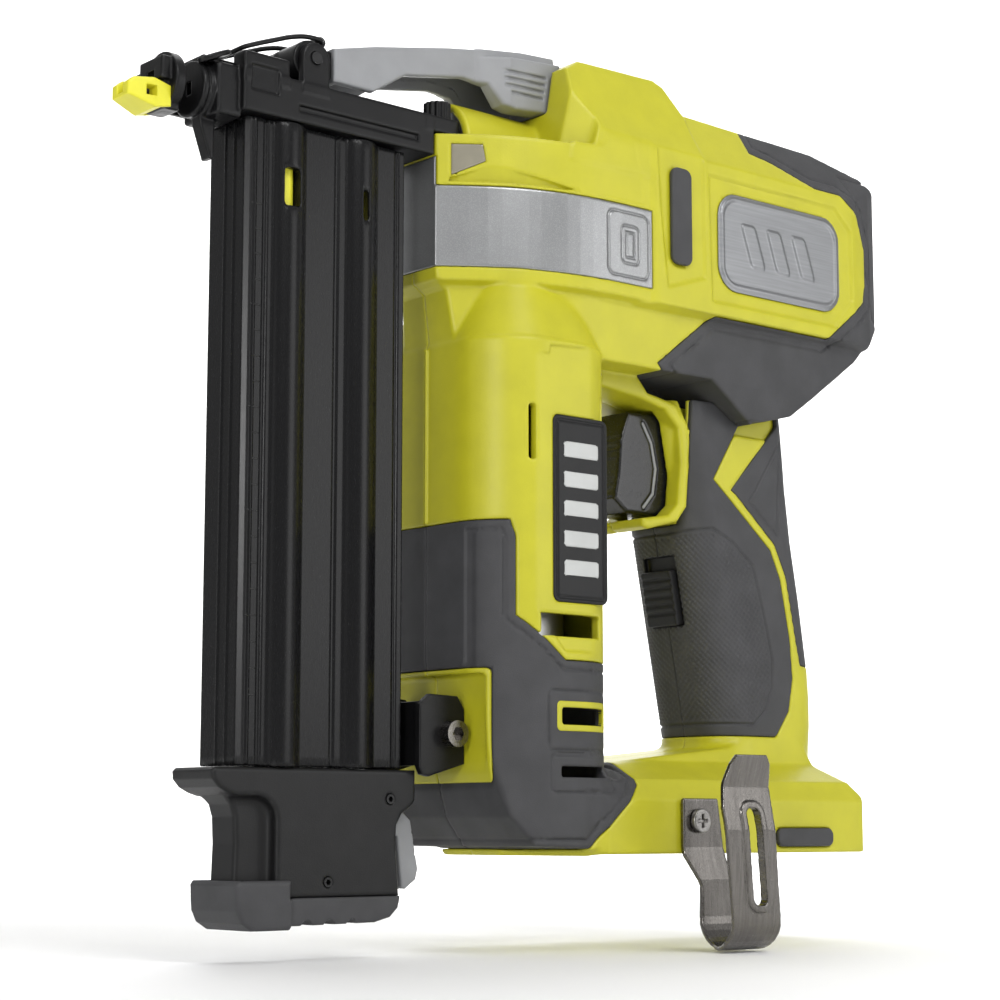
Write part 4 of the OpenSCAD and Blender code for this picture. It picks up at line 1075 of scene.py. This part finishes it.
def trigger(x, y, z):
    a = abs(y)
    body = allof(1.4, polygon(x, z, TRIGGER), a - 9)
    grooves = anyof(0, *[rod(x, z, -36.6 + 0.55 * k, 122.5 + 3.4 * k, 1.1) for k in range(7)])
    body = cut(0.4, body, grooves, maximum(path(x, z, INLAY, 0.8), 8.5 - a))
    return cut(0.2, body, maximum(rod(y, z, 0, SPRING_Z, 3.6), -20 - x))


solid("trigger", trigger, (-37, -10, 115.5), (-8.5, 10, 153.5), 0.5, "black_plastic", "trigger", mat=gloss)


def trigger_line(x, y, z):
    return allof(0.2, path(x, z, INLAY, 0.55), span(abs(y), 8.4, 8.95))


solid("trigger_inlay", trigger_line, (-24, -9.3, 117), (-14, 9.3, 151), 0.3, "black_plastic", "trigger", mat=grey)

COIL_START, COIL_LENGTH, COIL_STEPS = -19.1, 12.7, 14
coil = []
for k in range(COIL_STEPS * SPRING_TURNS + 1):
    t = 2 * math.pi * k / COIL_STEPS
    coil.append((COIL_START + COIL_LENGTH * k / (COIL_STEPS * SPRING_TURNS), SPRING_R * math.cos(t),
                 SPRING_Z + SPRING_R * math.sin(t)))
tube("trigger_coil", coil, 0.36, "trigger", "bright_steel", node="trigger_spring")


def mode(x, y, z):
    u, w = leaning(x, z)
    a = abs(y)
    body = block(u, a, w, (-1.2, -20, 19.4), (3.9, 7.4, 39), 0.8)
    ribs = anyof(0, *[rod(u, w, -1.5, 24 + 3 * k, 0.9) for k in range(5)])
    return cut(0.3, body, ribs)


solid("mode_switch", mode, (-12, -8, 76), (4, 8, 101), 0.4, "black_plastic", "mode")


def liner(x, y, z):
    pocket = mode_pocket(x, y, z)
    return allof(0.2, -(pocket + 0.14), pocket - 0.9, handle(x, y, z) + 0.4)


solid("mode_pocket_liner", liner, (-14, -9.5, 72), (10, 9.5, 112), 0.4, "black_plastic")

HOOK_T = 1.5
HOOK_ARC = [(-51 + 9.75 * math.cos(math.radians(t)), -20 + 9.75 * math.sin(math.radians(t)))
            for t in range(0, -181, -15)]
HOOK_LINE = [(-38.9, 20), (-38.9, 2), (-41.2, -8), *HOOK_ARC, (-62.75, 8), (-61.8, 22), (-64.8, 32)]
HOOK_PLATE = [(-34, 17.5), (-19.5, 17.5), (-16, -6), (-13.5, -24), (-13.5, -40), (-29, -40), (-28, -10), (-34, 0)]
HOOK_BLADE = [(-37.4, 28.8), (-35.6, 31.2), (-23, 31.2), (-21, 28.8), (-19.5, 22), (-13, -24), (-14, -40),
              (-32.5, -40), (-33.2, -23), (-39.5, 15), (-38.8, 23.5)]


def hook(x, y, z):
    strip = path(y, z, HOOK_LINE, HOOK_T / 2)
    inner = polygon(x, z, HOOK_PLATE) - 0.8
    blade = polygon(x, z, HOOK_BLADE) - 0.8
    blend = np.clip((y + 47) / -9, 0, 1)
    side = inner * (1 - blend) + blade * blend
    body = allof(0.35, strip, side)
    slot = rounded(x - 0.155 * (15 - z), z, (-31, -16), (-24.6, 15), 2.2)
    rim = allof(0.6, abs(slot - 1) - 1.3, path(y, z, HOOK_LINE, HOOK_T / 2 + 0.9), y + 55)
    body = anyof(0.4, body, rim)
    hole = maximum(rod(x, z, *HOOK_SCREW, 2.6), -45 - y)
    return cut(0.2, body, maximum(slot, y + 55), hole)


solid("belt_hook", hook, (-41.5, -66.2, -31), (-11, -37.5, 33), 0.4, "bright_steel", mat=hook_steel)


def hook_screw(x, y, z):
    dome = allof(0.6, rod(x, z, *HOOK_SCREW, 4), span(y, -41.8, -39.7))
    shank = maximum(rod(x, z, *HOOK_SCREW, 2), span(y, -40.5, -32))
    u, w = abs(x - HOOK_SCREW[0]), abs(z - HOOK_SCREW[1])
    cross = anyof(0, maximum(u - 0.5, w - 2.2), maximum(w - 0.5, u - 2.2))
    return cut(0.2, anyof(0.1, dome, shank), maximum(cross, y + 40.7))


solid("belt_hook_screw", hook_screw, (-32.5, -42.5, 6.5), (-23.5, -31, 15.5), 0.3, "bright_steel")

# ---------- floor and light ----------

FLOOR_HALF = 3.0
FLOOR_Z = -0.0312
SWEEP_START, SWEEP_RADIUS, SWEEP_STEPS, SWEEP_TOP = 1.6, 0.8, 16, 3.0
sweep = [(-FLOOR_HALF, 0.0), (SWEEP_START, 0.0)]
for k in range(1, SWEEP_STEPS + 1):
    t = math.pi / 2 * k / SWEEP_STEPS
    sweep.append((SWEEP_START + SWEEP_RADIUS * math.sin(t), SWEEP_RADIUS - SWEEP_RADIUS * math.cos(t)))
sweep.append((SWEEP_START + SWEEP_RADIUS, SWEEP_TOP))
away = Vector((math.cos(HEADING), math.sin(HEADING), 0))
across = Vector((-math.sin(HEADING), math.cos(HEADING), 0))
floor_mesh = bpy.data.meshes.new("floor")
bm = bmesh.new()
rows = [[bm.verts.new(away * d + across * s * FLOOR_HALF + Vector((0, 0, FLOOR_Z + h))) for s in (-1, 1)]
        for d, h in sweep]
for one, two in zip(rows, rows[1:]):
    bm.faces.new((one[0], one[1], two[1], two[0])).smooth = True
bm.to_mesh(floor_mesh)
bm.free()
floor = bpy.data.objects.new("floor", floor_mesh)
bpy.context.scene.collection.objects.link(floor)
floor_mesh.materials.append(finish("pale_floor", (0.93, 0.93, 0.93), 0.7, vary=0.006, patch=3, grain=60, bump=0.02,
                                   edge_highlight=0.0))


def area_light(name, place, target, size, power):
    data = bpy.data.lights.new(name, "AREA")
    data.size = size
    data.energy = power
    obj = bpy.data.objects.new(name, data)
    bpy.context.scene.collection.objects.link(obj)
    obj.location = place
    obj.rotation_euler = (Vector(target) - Vector(place)).to_track_quat("-Z", "Y").to_euler()


CENTRE = (-0.06, 0, 0.12)
for light in (("key", (-0.25, -1.25, 1.15), CENTRE, 0.7, 11),
              ("front_strip", (-1.35, -0.75, 0.35), CENTRE, 0.24, 5.0),
              ("top", (0.1, 0.3, 1.5), CENTRE, 0.9, 6),
              ("right_fill", (0.7, -1.1, 0.35), CENTRE, 0.6, 3.0),
              ("back", (0.9, 1.2, 0.9), CENTRE, 1.2, 4),
              ("backdrop_low", (0.55, 0.65, 0.9), (1.5, 1.75, 0.3), 1.6, 30),
              ("backdrop_high", (0.5, 0.6, 2.0), (1.6, 1.85, 1.4), 1.6, 30)):
    area_light(*light)
world = bpy.data.worlds.new("studio")
bpy.context.scene.world = world
world.use_nodes = True
sky = world.node_tree.nodes["Background"].inputs
sky["Color"].default_value = (1, 1, 1, 1)
sky["Strength"].default_value = 0.42
